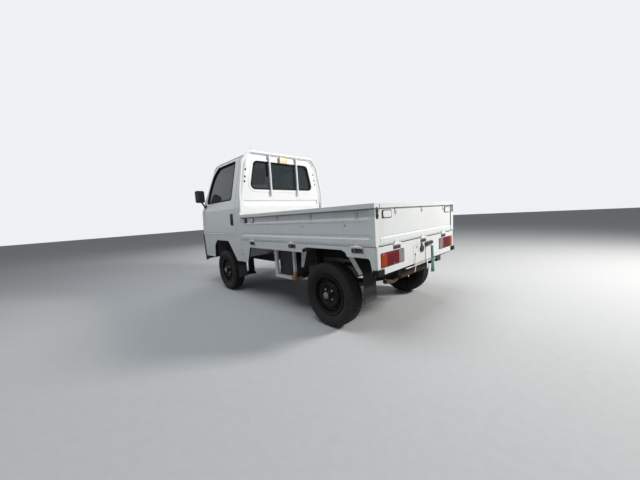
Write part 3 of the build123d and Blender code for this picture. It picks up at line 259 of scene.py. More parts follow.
# %% [markdown]
# Most small fittings are moulded or pressed blocks with soft edges. Each is a stack of rounded
# rectangles: the outline shrinks a little at the top and bottom of the stack, which rounds the edge.

# %% Moulded blocks


def round_outline(width, height, radius, corner=5):
    """A rounded rectangle as (n, 2) points: quarter circles centred inside each corner."""
    radius = max(min(radius, width / 2 - 1e-5, height / 2 - 1e-5), 1e-5)
    turn = np.linspace(0, math.pi / 2, corner)
    arcs = []
    for k, (sx, sy) in enumerate(((1, 1), (-1, 1), (-1, -1), (1, -1))):
        angle = turn + k * math.pi / 2
        arcs.append(np.stack([sx * (width / 2 - radius) + radius * np.cos(angle),
                              sy * (height / 2 - radius) + radius * np.sin(angle)], 1))
    return np.concatenate(arcs)


FACING = {"x": (1, 2, 0), "y": (0, 2, 1), "z": (0, 1, 2)}


def moulded(centre, size, radius, edge, facing="y"):
    """A block whose rounded outline faces one axis; edge is how far its rims are rounded."""
    across, along, deep = FACING[facing]
    half = size[deep] / 2
    levels = [(-1, edge), (-1 + 0.3 * edge / half, 0.3 * edge), (-1 + edge / half, 0)]
    levels = levels + [(-level, inset) for level, inset in levels[::-1]]
    rings = []
    for level, inset in levels:
        outline = round_outline(size[across] - 2 * inset, size[along] - 2 * inset, radius - inset)
        ring = np.zeros((len(outline), 3))
        ring[:, across] = outline[:, 0]
        ring[:, along] = outline[:, 1]
        ring[:, deep] = level * half
        rings.append(ring)
    return np.concatenate(rings) + np.asarray(centre), tube_faces(len(rings), len(rings[0]))


print("a block has", len(moulded((0, 0, 0), (0.1, 0.1, 0.1), 0.01, 0.002)[0]), "points")

# %% [markdown]
# Round things are turned on a lathe, and long ones are swept: a section travels along a path. A
# path is drawn as straight runs with rounded corners. Where it has to follow a curved panel, it is
# resampled to points at even distances.

# %% Turned and swept forms


def turned(profile, centre, axis="y", steps=32):
    """A lathe form: each (radius, offset) point of the profile is swung round an axis."""
    profile = np.asarray(profile, float)
    angle = np.linspace(0, 2 * math.pi, steps, endpoint=False)[:, None]
    ring = np.zeros((steps, len(profile), 3))
    first, second, along = {"x": (1, 2, 0), "y": (2, 0, 1), "z": (0, 1, 2)}[axis]
    ring[..., first] = profile[:, 0] * np.cos(angle)
    ring[..., second] = profile[:, 0] * np.sin(angle)
    ring[..., along] = profile[:, 1]
    return ring.reshape(-1, 3) + np.asarray(centre), grid_faces(steps, len(profile), close_rows=True)


def sweep(path, section, closed=False, up=(0, 0, 1)):
    """A closed section carried along a path. At each point the section's first axis is square to
    the path and to the up vector, and its second axis is square to both."""
    path = np.asarray(path, float)
    section = np.asarray(section, float)
    if closed:
        ahead = np.roll(path, -1, 0) - np.roll(path, 1, 0)
    else:
        ahead = np.gradient(path, axis=0)
    ahead /= np.linalg.norm(ahead, axis=1)[:, None]
    across = np.cross(ahead, np.broadcast_to(np.asarray(up, float), ahead.shape))
    across /= np.linalg.norm(across, axis=1)[:, None]
    over = np.cross(across, ahead)
    points = path[:, None] + across[:, None] * section[None, :, :1] + over[:, None] * section[None, :, 1:]
    if closed:
        return points.reshape(-1, 3), grid_faces(len(path), len(section), True, True)
    return points.reshape(-1, 3), tube_faces(len(path), len(section))


def circle(radius, steps):
    """A round section for a sweep."""
    angle = np.linspace(0, 2 * math.pi, steps, endpoint=False)
    return np.stack([radius * np.cos(angle), radius * np.sin(angle)], 1)


def rounded_path(corners, radii, closed=True, steps=6):
    """A path of straight runs whose corners are arcs, from corner points in any plane."""
    corners = np.asarray(corners, float)
    count = len(corners)
    points = []
    for k in range(count):
        here = corners[k]
        if not closed and k in (0, count - 1):
            points.append(here[None])
            continue
        before = corners[k - 1] - here
        after = corners[(k + 1) % count] - here
        reach = min(radii[k], 0.49 * np.linalg.norm(before), 0.49 * np.linalg.norm(after))
        a = here + before / np.linalg.norm(before) * reach
        b = here + after / np.linalg.norm(after) * reach
        t = np.linspace(0, 1, steps)[:, None]
        points.append((1 - t) ** 2 * a + 2 * t * (1 - t) * here + t ** 2 * b)
    return np.concatenate(points)


def resample(path, step, closed=True):
    """Points at even distances along a path, interpolated over the distance travelled."""
    path = np.asarray(path, float)
    if closed:
        path = np.concatenate([path, path[:1]])
    travelled = np.concatenate([[0], np.cumsum(np.linalg.norm(np.diff(path, axis=0), axis=1))])
    count = max(int(travelled[-1] / step), 8)
    at = np.linspace(0, travelled[-1], count, endpoint=not closed)
    return np.stack([np.interp(at, travelled, path[:, k]) for k in range(path.shape[1])], 1)


print("turned and swept forms ready")

# %% [markdown]
# Paint. The body is plain white enamel that has stood outdoors for years: it is dull rather than
# glossy, faintly mottled with road film, and dirtier near the ground. Every pattern reads Object
# coordinates, so it stays put on the panel. First come short names for the shader's nodes.

# %% Shader nodes


def new_material(name):
    material = bpy.data.materials.new(name)
    material.use_nodes = True
    tree = material.node_tree
    return material, tree, tree.nodes["Principled BSDF"]


def coordinates(tree, scale=(1, 1, 1)):
    """Object coordinates, stretched by a Mapping node."""
    place_in = tree.nodes.new("ShaderNodeTexCoord")
    mapping = tree.nodes.new("ShaderNodeMapping")
    mapping.inputs["Scale"].default_value = scale
    tree.links.new(place_in.outputs["Object"], mapping.inputs["Vector"])
    return mapping.outputs["Vector"]


def noise(tree, vector, scale, detail=4.0, rough=0.55):
    made = tree.nodes.new("ShaderNodeTexNoise")
    made.inputs["Scale"].default_value = scale
    made.inputs["Detail"].default_value = detail
    made.inputs["Roughness"].default_value = rough
    tree.links.new(vector, made.inputs["Vector"])
    return made.outputs["Fac"]


def ramp(tree, value, low, high, out_low=0.0, out_high=1.0):
    """Values from low to high become out_low to out_high, and stop there."""
    made = tree.nodes.new("ShaderNodeMapRange")
    for socket, number in (("From Min", low), ("From Max", high), ("To Min", out_low), ("To Max", out_high)):
        made.inputs[socket].default_value = number
    tree.links.new(value, made.inputs["Value"])
    return made.outputs["Result"]


def arithmetic(tree, kind, a, b):
    made = tree.nodes.new("ShaderNodeMath")
    made.operation = kind
    for socket, value in zip(made.inputs, (a, b)):
        if isinstance(value, (int, float)):
            socket.default_value = value
        else:
            tree.links.new(value, socket)
    return made.outputs[0]


def blend_colour(tree, amount, first, second):
    made = tree.nodes.new("ShaderNodeMix")
    made.data_type = "RGBA"
    tree.links.new(amount, made.inputs["Factor"])
    for socket, colour in ((made.inputs[6], first), (made.inputs[7], second)):
        if isinstance(colour, tuple):
            socket.default_value = (*colour, 1)
        else:
            tree.links.new(colour, socket)
    return made.outputs[2]


def axes_of(tree):
    """X, Y and Z of Object coordinates, as three outputs."""
    place_in = tree.nodes.new("ShaderNodeTexCoord")
    split = tree.nodes.new("ShaderNodeSeparateXYZ")
    tree.links.new(place_in.outputs["Object"], split.inputs[0])
    return split.outputs


def add_bump(tree, shader, value, strength, distance):
    made = tree.nodes.new("ShaderNodeBump")
    made.inputs["Strength"].default_value = strength
    made.inputs["Distance"].default_value = distance
    tree.links.new(value, made.inputs["Height"])
    tree.links.new(made.outputs["Normal"], shader.inputs["Normal"])


def absolute(tree, value):
    return arithmetic(tree, "ABSOLUTE", value, 0.0)


print("shader nodes ready")

# %% [markdown]
# One recipe serves all the plain finishes: a colour that wanders towards a stain in broad patches
# and fine specks, and a height under which dirt gathers.

# %% The plain recipe


def plain_finish(name, colour, stain, rough, grain=60.0, stain_amount=0.35, bump=0.2, depth=0.0004,
                 metal=0.0, dirt_below=0.0, coat=0.0, shine=0.5):
    """Colour that wanders towards a stain, roughness and a fine surface that wander with it."""
    material, tree, shader = new_material(name)
    vector = coordinates(tree)
    broad = noise(tree, vector, 3.5, 5.0, 0.6)
    fine = noise(tree, vector, grain, 6.0, 0.7)
    patches = ramp(tree, broad, 0.42, 0.72, 0.0, stain_amount)
    specks = ramp(tree, fine, 0.60, 0.78, 0.0, stain_amount * 0.8)
    amount = arithmetic(tree, "ADD", patches, specks)
    if dirt_below > 0:
        low = ramp(tree, axes_of(tree)[2], dirt_below, dirt_below - 0.35, 0.0, 0.55)
        amount = arithmetic(tree, "ADD", amount, arithmetic(tree, "MULTIPLY", low, fine))
    tree.links.new(blend_colour(tree, amount, colour, stain), shader.inputs["Base Color"])
    tree.links.new(ramp(tree, fine, 0.2, 0.8, rough - 0.08, rough + 0.12), shader.inputs["Roughness"])
    shader.inputs["Metallic"].default_value = metal
    shader.inputs["Specular IOR Level"].default_value = shine
    shader.inputs["Coat Weight"].default_value = coat
    shader.inputs["Coat Roughness"].default_value = 0.15
    add_bump(tree, shader, fine, bump, depth)
    return material


print("plain recipe ready")

# %% [markdown]
# Enamel has more layers. A film and rain streaks dull it, splashes gather low down, and chips show
# brown rust. Two zones can be asked for: one hidden under the body, dark with underseal and partly
# with painted shade, and one under a lip, where a painted shadow lies in a line.

# %% The enamel recipe
CHIP_BROWN = (0.17, 0.075, 0.035)
# Underseal black under the body, which also stands for the shade there: partly painted shade.
UNDERSEAL_AND_SHADE_BLACK = (0.022, 0.021, 0.020)
# The grey of the painted shadow under the gates' lip.
LIP_SHADE_GREY = (0.10, 0.10, 0.105)


def underseal_and_shade_zone(tree, hidden):
    """One inside a zone and zero outside: |Y| below a + b Z, Z below a top, X in a range."""
    x, y, z = axes_of(tree)
    out = arithmetic(tree, "SUBTRACT", absolute(tree, y), arithmetic(tree, "MULTIPLY", z, hidden["b"]))
    zone = arithmetic(tree, "MULTIPLY", ramp(tree, out, hidden["a"] - 0.0006, hidden["a"], 1.0, 0.0),
                      ramp(tree, z, hidden["top"] - 0.001, hidden["top"], 1.0, 0.0))
    for way, edge in ((1.0, hidden["x"][0]), (-1.0, hidden["x"][1])):
        ahead = arithmetic(tree, "MULTIPLY", x, way)
        zone = arithmetic(tree, "MULTIPLY", zone, ramp(tree, ahead, edge * way - 0.001, edge * way))
    return zone


def painted_lip_shade(tree, lip):
    """A painted shadow under a rim at the height lip: a thin dark line, and on the sides' outer faces (|Y|
    past 670 mm) a faint one below it, 50 mm wide."""
    _, y, z = axes_of(tree)
    outside = ramp(tree, absolute(tree, y), 0.668, 0.672)
    faint = arithmetic(tree, "MULTIPLY", outside, ramp(tree, z, lip - 0.062, lip - 0.050, 0.0, 0.34))
    shade_amount = arithmetic(tree, "MAXIMUM", ramp(tree, z, lip - 0.013, lip - 0.009, 0.0, 0.85), faint)
    return arithmetic(tree, "MULTIPLY", shade_amount, ramp(tree, z, lip - 0.0002, lip + 0.0006, 1.0, 0.0))


def enamel(name, colour, wear_colour, chips, streaks, hidden=None, lip=None):
    """White enamel: faint mottling, rain streaks that run down, chips to rust, dirt near the ground.
    Chips appear where a noise passes the number chips, so a lower number gives more of them."""
    material, tree, shader = new_material(name)
    vector = coordinates(tree)
    broad = noise(tree, vector, 2.2, 6.0, 0.62)
    fine = noise(tree, vector, 90.0, 5.0, 0.65)
    down = noise(tree, coordinates(tree, (16, 16, 1.3)), 1.0, 5.0, 0.6)
    film = ramp(tree, broad, 0.40, 0.75, 0.0, 0.16)
    runs = ramp(tree, down, 0.56, 0.80, 0.0, streaks)
    low = ramp(tree, axes_of(tree)[2], 0.72, 0.42, 0.0, 0.34)
    splash = arithmetic(tree, "MULTIPLY", low, ramp(tree, noise(tree, vector, 14.0, 6.0, 0.7), 0.3, 0.7))
    dirt = arithmetic(tree, "ADD", arithmetic(tree, "ADD", film, runs), splash)
    dulled = blend_colour(tree, dirt, colour, wear_colour)
    chip = ramp(tree, noise(tree, vector, 34.0, 3.0, 0.55), chips, chips + 0.03)
    painted = blend_colour(tree, chip, dulled, CHIP_BROWN)
    if hidden:
        # Under the body the enamel turns underseal black, partly painted shade.
        painted = blend_colour(tree, underseal_and_shade_zone(tree, hidden), painted, UNDERSEAL_AND_SHADE_BLACK)
    if lip:
        # A painted shadow under the lip, in grey.
        painted = blend_colour(tree, painted_lip_shade(tree, lip), painted, LIP_SHADE_GREY)
    tree.links.new(painted, shader.inputs["Base Color"])
    gloss = arithmetic(tree, "ADD", ramp(tree, broad, 0.3, 0.7, 0.30, 0.44),
                       ramp(tree, fine, 0.2, 0.8, 0.0, 0.08))
    tree.links.new(gloss, shader.inputs["Roughness"])
    shader.inputs["Coat Weight"].default_value = 0.12
    shader.inputs["Coat Roughness"].default_value = 0.25
    surface = arithmetic(tree, "SUBTRACT", arithmetic(tree, "MULTIPLY", fine, 0.15), chip)
    add_bump(tree, shader, surface, 0.35, 0.0006)
    return material


print("enamel recipe ready")

# %% [markdown]
# Now the paints. The bed's enamel is more worn than the cab's. The three drop gates have a painted
# shadow under their lip, and the metal that turns under the cab and under the bed is dark with underseal,
# partly painted shade. The black and grey finishes differ in how brown their stain is, how coarse their
# grain and how dull their shine.

# %% Paints
CAB_ENAMEL = ((0.80, 0.815, 0.82), (0.50, 0.47, 0.41), 0.80, 0.10)
BED_ENAMEL = ((0.78, 0.80, 0.81), (0.44, 0.42, 0.38), 0.745, 0.22)
GATE_LIP = 0.949
# Zones under the cab and the bed where the enamel turns underseal black, partly painted shade.
UNDER_CAB = {"a": 0.6818, "b": 0.0184, "top": 0.690, "x": (0.385, 1.130)}
UNDER_BED = {"a": 0.6885, "b": 0.0, "top": 0.684, "x": (-1.600, 0.300)}
cab_paint = enamel("cab_enamel", *CAB_ENAMEL)
bed_paint = enamel("bed_enamel", *BED_ENAMEL)
# The gates' enamel carries a painted shadow under their lip.
gate_paint = enamel("gate_enamel", *BED_ENAMEL, lip=GATE_LIP)
side_paint = enamel("cab_side_enamel", *CAB_ENAMEL, hidden=UNDER_CAB)
under_paint = enamel("under_bed_enamel", *BED_ENAMEL, hidden=UNDER_BED)
guard_paint = plain_finish("guard_enamel", (0.82, 0.83, 0.83), (0.50, 0.42, 0.32), 0.38, 50, 0.22, coat=0.1)
underseal = plain_finish("underseal", (0.018, 0.018, 0.018), (0.060, 0.048, 0.037), 0.75, 45, 0.5, 0.5, 0.001,
                         shine=0.2)
rim_paint = plain_finish("rim_enamel", (0.010, 0.010, 0.011), (0.055, 0.043, 0.033), 0.5, 70, 0.3, 0.2,
                         shine=0.12)
rust = plain_finish("rusty_steel", (0.085, 0.048, 0.029), (0.035, 0.025, 0.020), 0.88, 55, 0.8, 0.7, 0.0015,
                    shine=0.2)
cast_metal = plain_finish("cast_metal", (0.15, 0.15, 0.15), (0.05, 0.043, 0.036), 0.62, 60, 0.6, 0.5, 0.001,
                          metal=0.5)
zinc = plain_finish("zinc", (0.55, 0.55, 0.54), (0.28, 0.20, 0.13), 0.42, 90, 0.5, 0.2, 0.0003, metal=0.85)
black_plastic = plain_finish("black_plastic", (0.018, 0.018, 0.020), (0.060, 0.058, 0.056), 0.52, 240, 0.3,
                             0.35, 0.0002, shine=0.35)
bumper_plastic = plain_finish("bumper_plastic", (0.045, 0.046, 0.048), (0.11, 0.105, 0.10), 0.58, 260, 0.35,
                              0.4, 0.0003, dirt_below=0.8)
rubber = plain_finish("rubber", (0.012, 0.012, 0.013), (0.040, 0.038, 0.035), 0.78, 120, 0.35, 0.3, shine=0.12)
flap_rubber = plain_finish("flap_rubber", (0.026, 0.027, 0.028), (0.13, 0.12, 0.105), 0.82, 40, 0.5, 0.4,
                           dirt_below=0.5, shine=0.2)
trim_plastic = plain_finish("trim_plastic", (0.13, 0.13, 0.135), (0.20, 0.195, 0.185), 0.62, 320, 0.25, 0.5,
                            0.0003)
old_plastic = plain_finish("old_plastic", (0.66, 0.58, 0.33), (0.36, 0.26, 0.12), 0.4, 60, 0.45, 0.2, coat=0.2)
nylon = plain_finish("nylon", (0.86, 0.86, 0.84), (0.6, 0.57, 0.5), 0.45, 80, 0.2, 0.15)
print("finishes", len(bpy.data.materials))

# %% [markdown]
# One soft thing hangs free: a green webbing strap that somebody left on the rear panel. It is 237 mm
# of limp flat strap. Its line is a spline through a few points, a little off straight, and the strap
# is a flat section carried along that spline, twisting as it falls. The last two centimetres are
# folded over and stitched, so they are twice as thick.

# %% The strap's form
STRAP_WIDTH = 0.036
STRAP_THICK = 0.0024
FOLD_FROM = 0.91      # share of the length after which the strap is folded over
FOLD_THICKER = 0.9
STRAP_ROUTE = [(-1.6223, -0.1710, 0.5980), (-1.6223, -0.1710, 0.5700), (-1.6232, -0.1716, 0.5280),
               (-1.6224, -0.1726, 0.4800), (-1.6208, -0.1722, 0.4360), (-1.6212, -0.1704, 0.3960),
               (-1.6220, -0.1694, 0.3610)]


def spline_points(route, name):
    """The points of a smooth NURBS line through a route's control points."""
    curve = bpy.data.curves.new(name, "CURVE")
    curve.dimensions = "3D"
    curve.resolution_u = 8
    spline = curve.splines.new("NURBS")
    spline.points.add(len(route) - 1)
    spline.points.foreach_set("co", np.column_stack([route, np.ones(len(route))]).ravel())
    spline.order_u = 3
    spline.use_endpoint_u = True
    line = bpy.data.objects.new(name, curve)
    mesh = bpy.data.meshes.new_from_object(line)
    points = point_values(mesh)
    bpy.data.meshes.remove(mesh)
    bpy.data.objects.remove(line)
    bpy.data.curves.remove(curve)
    return points


def strap_surface(points, width, thick):
    """A flat section of 2 a by 2 b along the points. Its wide side turns from the Y axis by an
    angle that grows with the distance fallen, up to 0.5 radian, and b nearly doubles past the fold."""
    fallen = np.linspace(0, 1, len(points))
    twist = 0.5 * fallen ** 2
    wide = np.stack([np.sin(twist), np.cos(twist), np.zeros_like(twist)], 1)
    ahead = np.gradient(points, axis=0)
    ahead /= np.linalg.norm(ahead, axis=1)[:, None]
    wide -= (wide * ahead).sum(1)[:, None] * ahead
    wide /= np.linalg.norm(wide, axis=1)[:, None]
    out = np.cross(wide, ahead)
    section = round_outline(width, thick, thick / 2, 4)
    fold = 1 + FOLD_THICKER * (fallen > FOLD_FROM)
    surface = points[:, None] + wide[:, None] * section[None, :, :1]
    surface = surface + out[:, None] * section[None, :, 1:] * fold[:, None, None]
    return surface.reshape(-1, 3), tube_faces(len(points), len(section))


print("strap route of", len(STRAP_ROUTE), "control points")

# %% [markdown]
# Webbing is woven, so fine ribs cross the strap as a bump. It has faded where the sun reaches it and
# is darker between the ribs. The finished strap stands for the model's plain one.

# %% The strap's webbing


def webbing_finish():
    """Green nylon webbing: fine ribs as a bump, dark between them, and faded in patches."""
    material, tree, shader = new_material("green_webbing")
    vector = coordinates(tree)
    rib = tree.nodes.new("ShaderNodeTexWave")
    rib.bands_direction = "Z"
    rib.inputs["Scale"].default_value = 150.0
    rib.inputs["Distortion"].default_value = 2.0
    tree.links.new(vector, rib.inputs["Vector"])
    faded = ramp(tree, noise(tree, vector, 22.0, 5.0, 0.6), 0.4, 0.7)
    base = blend_colour(tree, faded, (0.060, 0.180, 0.150), (0.130, 0.270, 0.235))
    dark = ramp(tree, rib.outputs["Fac"], 0.0, 0.6, 0.45, 0.0)
    tree.links.new(blend_colour(tree, dark, base, (0.008, 0.050, 0.040)), shader.inputs["Base Color"])
    shader.inputs["Roughness"].default_value = 0.85
    shader.inputs["Specular IOR Level"].default_value = 0.3
    add_bump(tree, shader, rib.outputs["Fac"], 0.5, 0.0006)
    return material


strap_line = spline_points(STRAP_ROUTE, "strap_line")
strap_mesh = make_mesh("strap", *strap_surface(strap_line, STRAP_WIDTH, STRAP_THICK), smooth_angle=50)
strap = place("strap_webbing", strap_mesh, "chassis", webbing_finish(), "strap_webbing")
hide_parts("tail_strap")

# %% [markdown]
# Clear things next: window glass whose dark, slightly blue colour is a painted dark reflection and
# shade, and lamp lenses. A lens is a tinted solid whose small ribs are only a bump, since they are finer
# than a millimetre or two. The tail lamp is one moulding in three colours, so its colour follows Y.

# %% Glass and lenses


def glass_finish(name, tint, rough, clear):
    material, tree, shader = new_material(name)
    vector = coordinates(tree)
    dust = noise(tree, vector, 5.0, 6.0, 0.7)
    shader.inputs["Base Color"].default_value = (*tint, 1)
    shader.inputs["Transmission Weight"].default_value = clear
    shader.inputs["IOR"].default_value = 1.45
    tree.links.new(ramp(tree, dust, 0.35, 0.75, rough, rough + 0.12), shader.inputs["Roughness"])
    add_bump(tree, shader, noise(tree, vector, 1.6, 2.0, 0.4), 0.05, 0.002)
    return material


def window_finish(name, cover):
    """Thin glass: partly see-through, with a dark blue-green colour that is a painted dark reflection and shade, a
    film of dust and a sharp reflection.
    """
    material, tree, shader = new_material(name)
    vector = coordinates(tree)
    dust = noise(tree, vector, 6.0, 7.0, 0.7)
    # This dark colour, laid over the cabin by the alpha, is a painted dark reflection and shade.
    shader.inputs["Base Color"].default_value = (0.020, 0.033, 0.038, 1)
    shader.inputs["IOR"].default_value = 1.5
    tree.links.new(ramp(tree, dust, 0.3, 0.8, 0.03, 0.10), shader.inputs["Roughness"])
    tree.links.new(ramp(tree, dust, 0.45, 0.80, cover, cover + 0.08), shader.inputs["Alpha"])
    return material


def ribbed_lens(name, scale, colours, steps, rough=0.16):
    """A moulded lens: colour by distance from the middle plane, a fine grid of ribs as a bump."""
    material, tree, shader = new_material(name)
    axes = axes_of(tree)
    out = absolute(tree, axes[1])
    colour = colours[0]
    for step, following in zip(steps, colours[1:]):
        colour = blend_colour(tree, ramp(tree, out, step - 0.0004, step + 0.0004), colour, following)
    rib = arithmetic(tree, "SINE", arithmetic(tree, "MULTIPLY", axes[1], scale), 0.0)
    row = arithmetic(tree, "SINE", arithmetic(tree, "MULTIPLY", axes[2], scale), 0.0)
    pattern = arithmetic(tree, "MULTIPLY", arithmetic(tree, "ADD", rib, row), 0.5)
    fine = noise(tree, coordinates(tree), 30.0, 4.0, 0.6)
    tinted = blend_colour(tree, ramp(tree, fine, 0.5, 0.8, 0.0, 0.05), colour, (0.10, 0.08, 0.07))
    tree.links.new(tinted, shader.inputs["Base Color"])
    tree.links.new(ramp(tree, fine, 0.3, 0.7, rough, rough + 0.1), shader.inputs["Roughness"])
    shader.inputs["Specular IOR Level"].default_value = 0.08
    add_bump(tree, shader, pattern, 0.6, 0.0010)
    return material


print("glass and lens recipes ready")

# %% [markdown]
# The seats' cloth is woven too: two sets of thin waves cross, and the higher one shows. Then the
# clear finishes are mixed. A door's glass hides more of the cabin than the other panes, with a painted
# reflection of dark trees.

# %% Cloth and clear finishes
# How much of each pane its painted dark reflection covers.
WINDOW_COVER = {"window_glass": 0.52, "door_glass": 0.77}


def cloth_finish():
    """Woven grey cloth: crossed threads two millimetres apart, faded patches, a soft sheen."""
    material, tree, shader = new_material("seat_cloth")
    vector = coordinates(tree)
    warp = tree.nodes.new("ShaderNodeTexWave")
    warp.inputs["Scale"].default_value = 160.0
    weft = tree.nodes.new("ShaderNodeTexWave")
    weft.bands_direction = "Y"
    weft.inputs["Scale"].default_value = 160.0
    for wave in (warp, weft):
        wave.inputs["Distortion"].default_value = 1.5
        tree.links.new(vector, wave.inputs["Vector"])
    weave = arithmetic(tree, "MAXIMUM", warp.outputs["Fac"], weft.outputs["Fac"])
    faded = ramp(tree, noise(tree, vector, 5.0, 5.0, 0.6), 0.4, 0.7)
    base = blend_colour(tree, faded, (0.085, 0.088, 0.095), (0.14, 0.14, 0.145))
    colour = blend_colour(tree, arithmetic(tree, "MULTIPLY", weave, 0.5), base, (0.20, 0.20, 0.21))
    tree.links.new(colour, shader.inputs["Base Color"])
    shader.inputs["Roughness"].default_value = 0.92
    shader.inputs["Sheen Weight"].default_value = 0.3
    add_bump(tree, shader, weave, 0.5, 0.0006)
    return material


window_glass, door_glass = (window_finish(name, cover) for name, cover in WINDOW_COVER.items())
LENS_RED = (0.140, 0.0008, 0.006)
tail_lens = ribbed_lens("tail_lens", 900.0, [(0.26, 0.22, 0.235), LENS_RED, (0.34, 0.045, 0.002)],
                        [0.411, 0.574], rough=0.30)
amber_lens = ribbed_lens("amber_lens", 900.0, [(0.80, 0.26, 0.02)], [])
head_lens = glass_finish("head_lens", (0.93, 0.95, 0.96), 0.03, 0.92)
cloth = cloth_finish()
print("finishes", len(bpy.data.materials))

# %% [markdown]
# The engineering model's panels are right in form but knife-edged, and real sheet metal never is:
# a hemmed edge has a radius of a millimetre or so that catches the light. A panel is therefore
# copied, its loose triangles are welded, and a Bevel modifier rounds the edges. The copy stands for
# the model's panel, which stays behind it for the physics.
#
# Flat panels are first rid of the triangles' inner edges. Those have no angle, but a bevel still
# stumbles over them: it leaves a dark wedge in a gate's corner and a streak on a door. A gate's bevels
# are also held back from running into one another.

# %% Dressing a panel
HEM_RADIUS = 0.0012
HEM_ANGLE = 30         # an edge that turns by more degrees than this is rounded
PANEL_SMOOTH = 40
GATES = ("side_gate_left", "side_gate_right", "tail_gate")
FLAT = GATES + ("rear_panel", "bed_sills", "headboard", "door_left", "door_right")
BODY_OF = {name: body_of(node)[0] for name, node in nodes.items()}


def welded(node):
    """A copy of a model mesh with its doubled points merged and its flat triangles joined."""
    mesh = nodes[node].data.copy()
    mesh.name = node + "_dressed"
    made = bmesh.new()
    made.from_mesh(mesh)
    bmesh.ops.remove_doubles(made, verts=made.verts, dist=1e-5)
    if node in FLAT:
        bmesh.ops.dissolve_limit(made, angle_limit=math.radians(0.5), verts=made.verts, edges=made.edges)
    made.to_mesh(mesh)
    made.free()
    return mesh


def dress(node, material, slot):
    """Stand a rounded, painted copy in for a model panel."""
    mesh = welded(node)
    mesh.polygons.foreach_set("use_smooth", np.ones(len(mesh.polygons), bool))
    mesh.set_sharp_from_angle(angle=math.radians(PANEL_SMOOTH))
    piece = place(node + "_skin", mesh, BODY_OF[node], material, slot)
    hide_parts(node)
    rounding = piece.modifiers.new("rounding", "BEVEL")
    rounding.width = HEM_RADIUS
    rounding.segments = 2
    rounding.limit_method = "ANGLE"
    rounding.angle_limit = math.radians(HEM_ANGLE)
    rounding.use_clamp_overlap = node in GATES
    flattening = piece.modifiers.new("flattening", "WEIGHTED_NORMAL")
    flattening.keep_sharp = True
    flattening.weight = 80


def repaint(node, material):
    """A model node that is right as it is takes only a finish."""
    data = nodes[node].data
    data.materials.clear()
    data.materials.append(material)


print("flat panels", len(FLAT))

# %% [markdown]
# Each node of the model is dressed, or only repainted where its form is right as it is, or made
# anew further down. The last line prints the nodes that are left for that.

# %% Which node gets what
DRESSED = {
    "cab_roof": (cab_paint, "body_white"), "cab_back": (cab_paint, "body_white"),
    "cab_side_left": (side_paint, "body_white"), "cab_side_right": (side_paint, "body_white"),
    "cab_front": (cab_paint, "body_white"), "door_left": (cab_paint, "body_white"),
    "door_right": (cab_paint, "body_white"), "bed": (under_paint, "body_white"),
    # The bed bearers' underseal black is partly painted shade under the bed.
    "bed_sills": (under_paint, "body_white"), "bed_bearers": (underseal, "underbody_black"),
    "headboard": (bed_paint, "body_white"), "rear_panel": (bed_paint, "body_white"),
    "side_gate_left": (gate_paint, "body_white"), "side_gate_right": (gate_paint, "body_white"),
    "tail_gate": (gate_paint, "body_white"), "window_guard": (guard_paint, "guard_white"),
    "front_bumper": (bumper_plastic, "bumper_plastic"), "corner_pads": (rubber, "black_rubber"),
    "battery_box": (black_plastic, "black_plastic"), "battery_frame": (guard_paint, "guard_white"),
    "bed_lamp": (old_plastic, "old_plastic"), "mud_flaps": (flap_rubber, "black_rubber"),
    "door_mirror_left": (black_plastic, "black_plastic"), "door_mirror_right": (black_plastic, "black_plastic"),
    "door_handle_left": (black_plastic, "black_plastic"), "door_handle_right": (black_plastic, "black_plastic"),
    "dash": (trim_plastic, "trim_grey"), "fuel_tank": (underseal, "underbody_black"),
}
for node, (material, slot) in DRESSED.items():
    dress(node, material, slot)
REPAINTED = {
    "cab_floor": trim_plastic, "cab_glass": window_glass, "seats": cloth, "headlamps": head_lens,
    "front_signals": amber_lens, "frame_rails": underseal,
    "cross_members": underseal, "engine": cast_metal, "exhaust": rust, "rear_axle": underseal,
    "leaf_springs": underseal, "front_arms": underseal, "rear_liners": flap_rubber,
    "front_liners": flap_rubber, "tow_eyes": underseal, "steering_wheel": black_plastic,
    "door_glass_left": door_glass, "door_glass_right": door_glass,
    "knuckle_left": underseal, "knuckle_right": underseal,
    **{f"rim_{end}_{side}": rim_paint for end in ("front", "rear") for side in SIDES},
}
for node, material in REPAINTED.items():
    repaint(node, material)
left = sorted(set(nodes) - set(DRESSED) - set(REPAINTED))
print("dressed", len(DRESSED), "repainted", len(REPAINTED), "made below", left)

# %% [markdown]
# The cab leans in above its waist, so a rubber or a rain gutter that follows it needs the side's
# distance at any point. The form is known from a few level sections, so it is interpolated between
# them, and near the nose it turns in along each section's corner circle.

# %% Where the cab's side is
REAR = -1.6275
BED_REAR = REAR + 0.010
BED_FRONT = BED_REAR + 1.862
CAB_BACK = BED_FRONT + 0.038
DOOR_REAR = CAB_BACK + 0.075
DOOR_FRONT = DOOR_REAR + 0.945
NOSE = 1.6275
HALF_WIDTH = 0.6975
AXLES = {"rear": REAR + 0.521, "front": CAB_BACK + 0.511}
WHEEL_PLANE = 0.6025
WHEEL_RADIUS = 0.268
# height, half width, distance behind the nose, bow, corner radius
SECTIONS = np.array([(0.430, 0.6915, 0.062, 0.042, 0.190), (0.756, 0.6975, 0.026, 0.045, 0.200),
                     (1.066, 0.6975, 0.048, 0.048, 0.200), (1.082, 0.6905, 0.052, 0.048, 0.195),
                     (1.160, 0.6725, 0.086, 0.055, 0.180), (1.660, 0.5600, 0.392, 0.042, 0.110),
                     (1.700, 0.5360, 0.428, 0.040, 0.100), (1.722, 0.4800, 0.498, 0.036, 0.090)])


def section_at(z):
    """Half width, setback, bow and corner radius at heights z, each interpolated."""
    return [np.interp(z, SECTIONS[:, 0], SECTIONS[:, k]) for k in range(1, 5)]


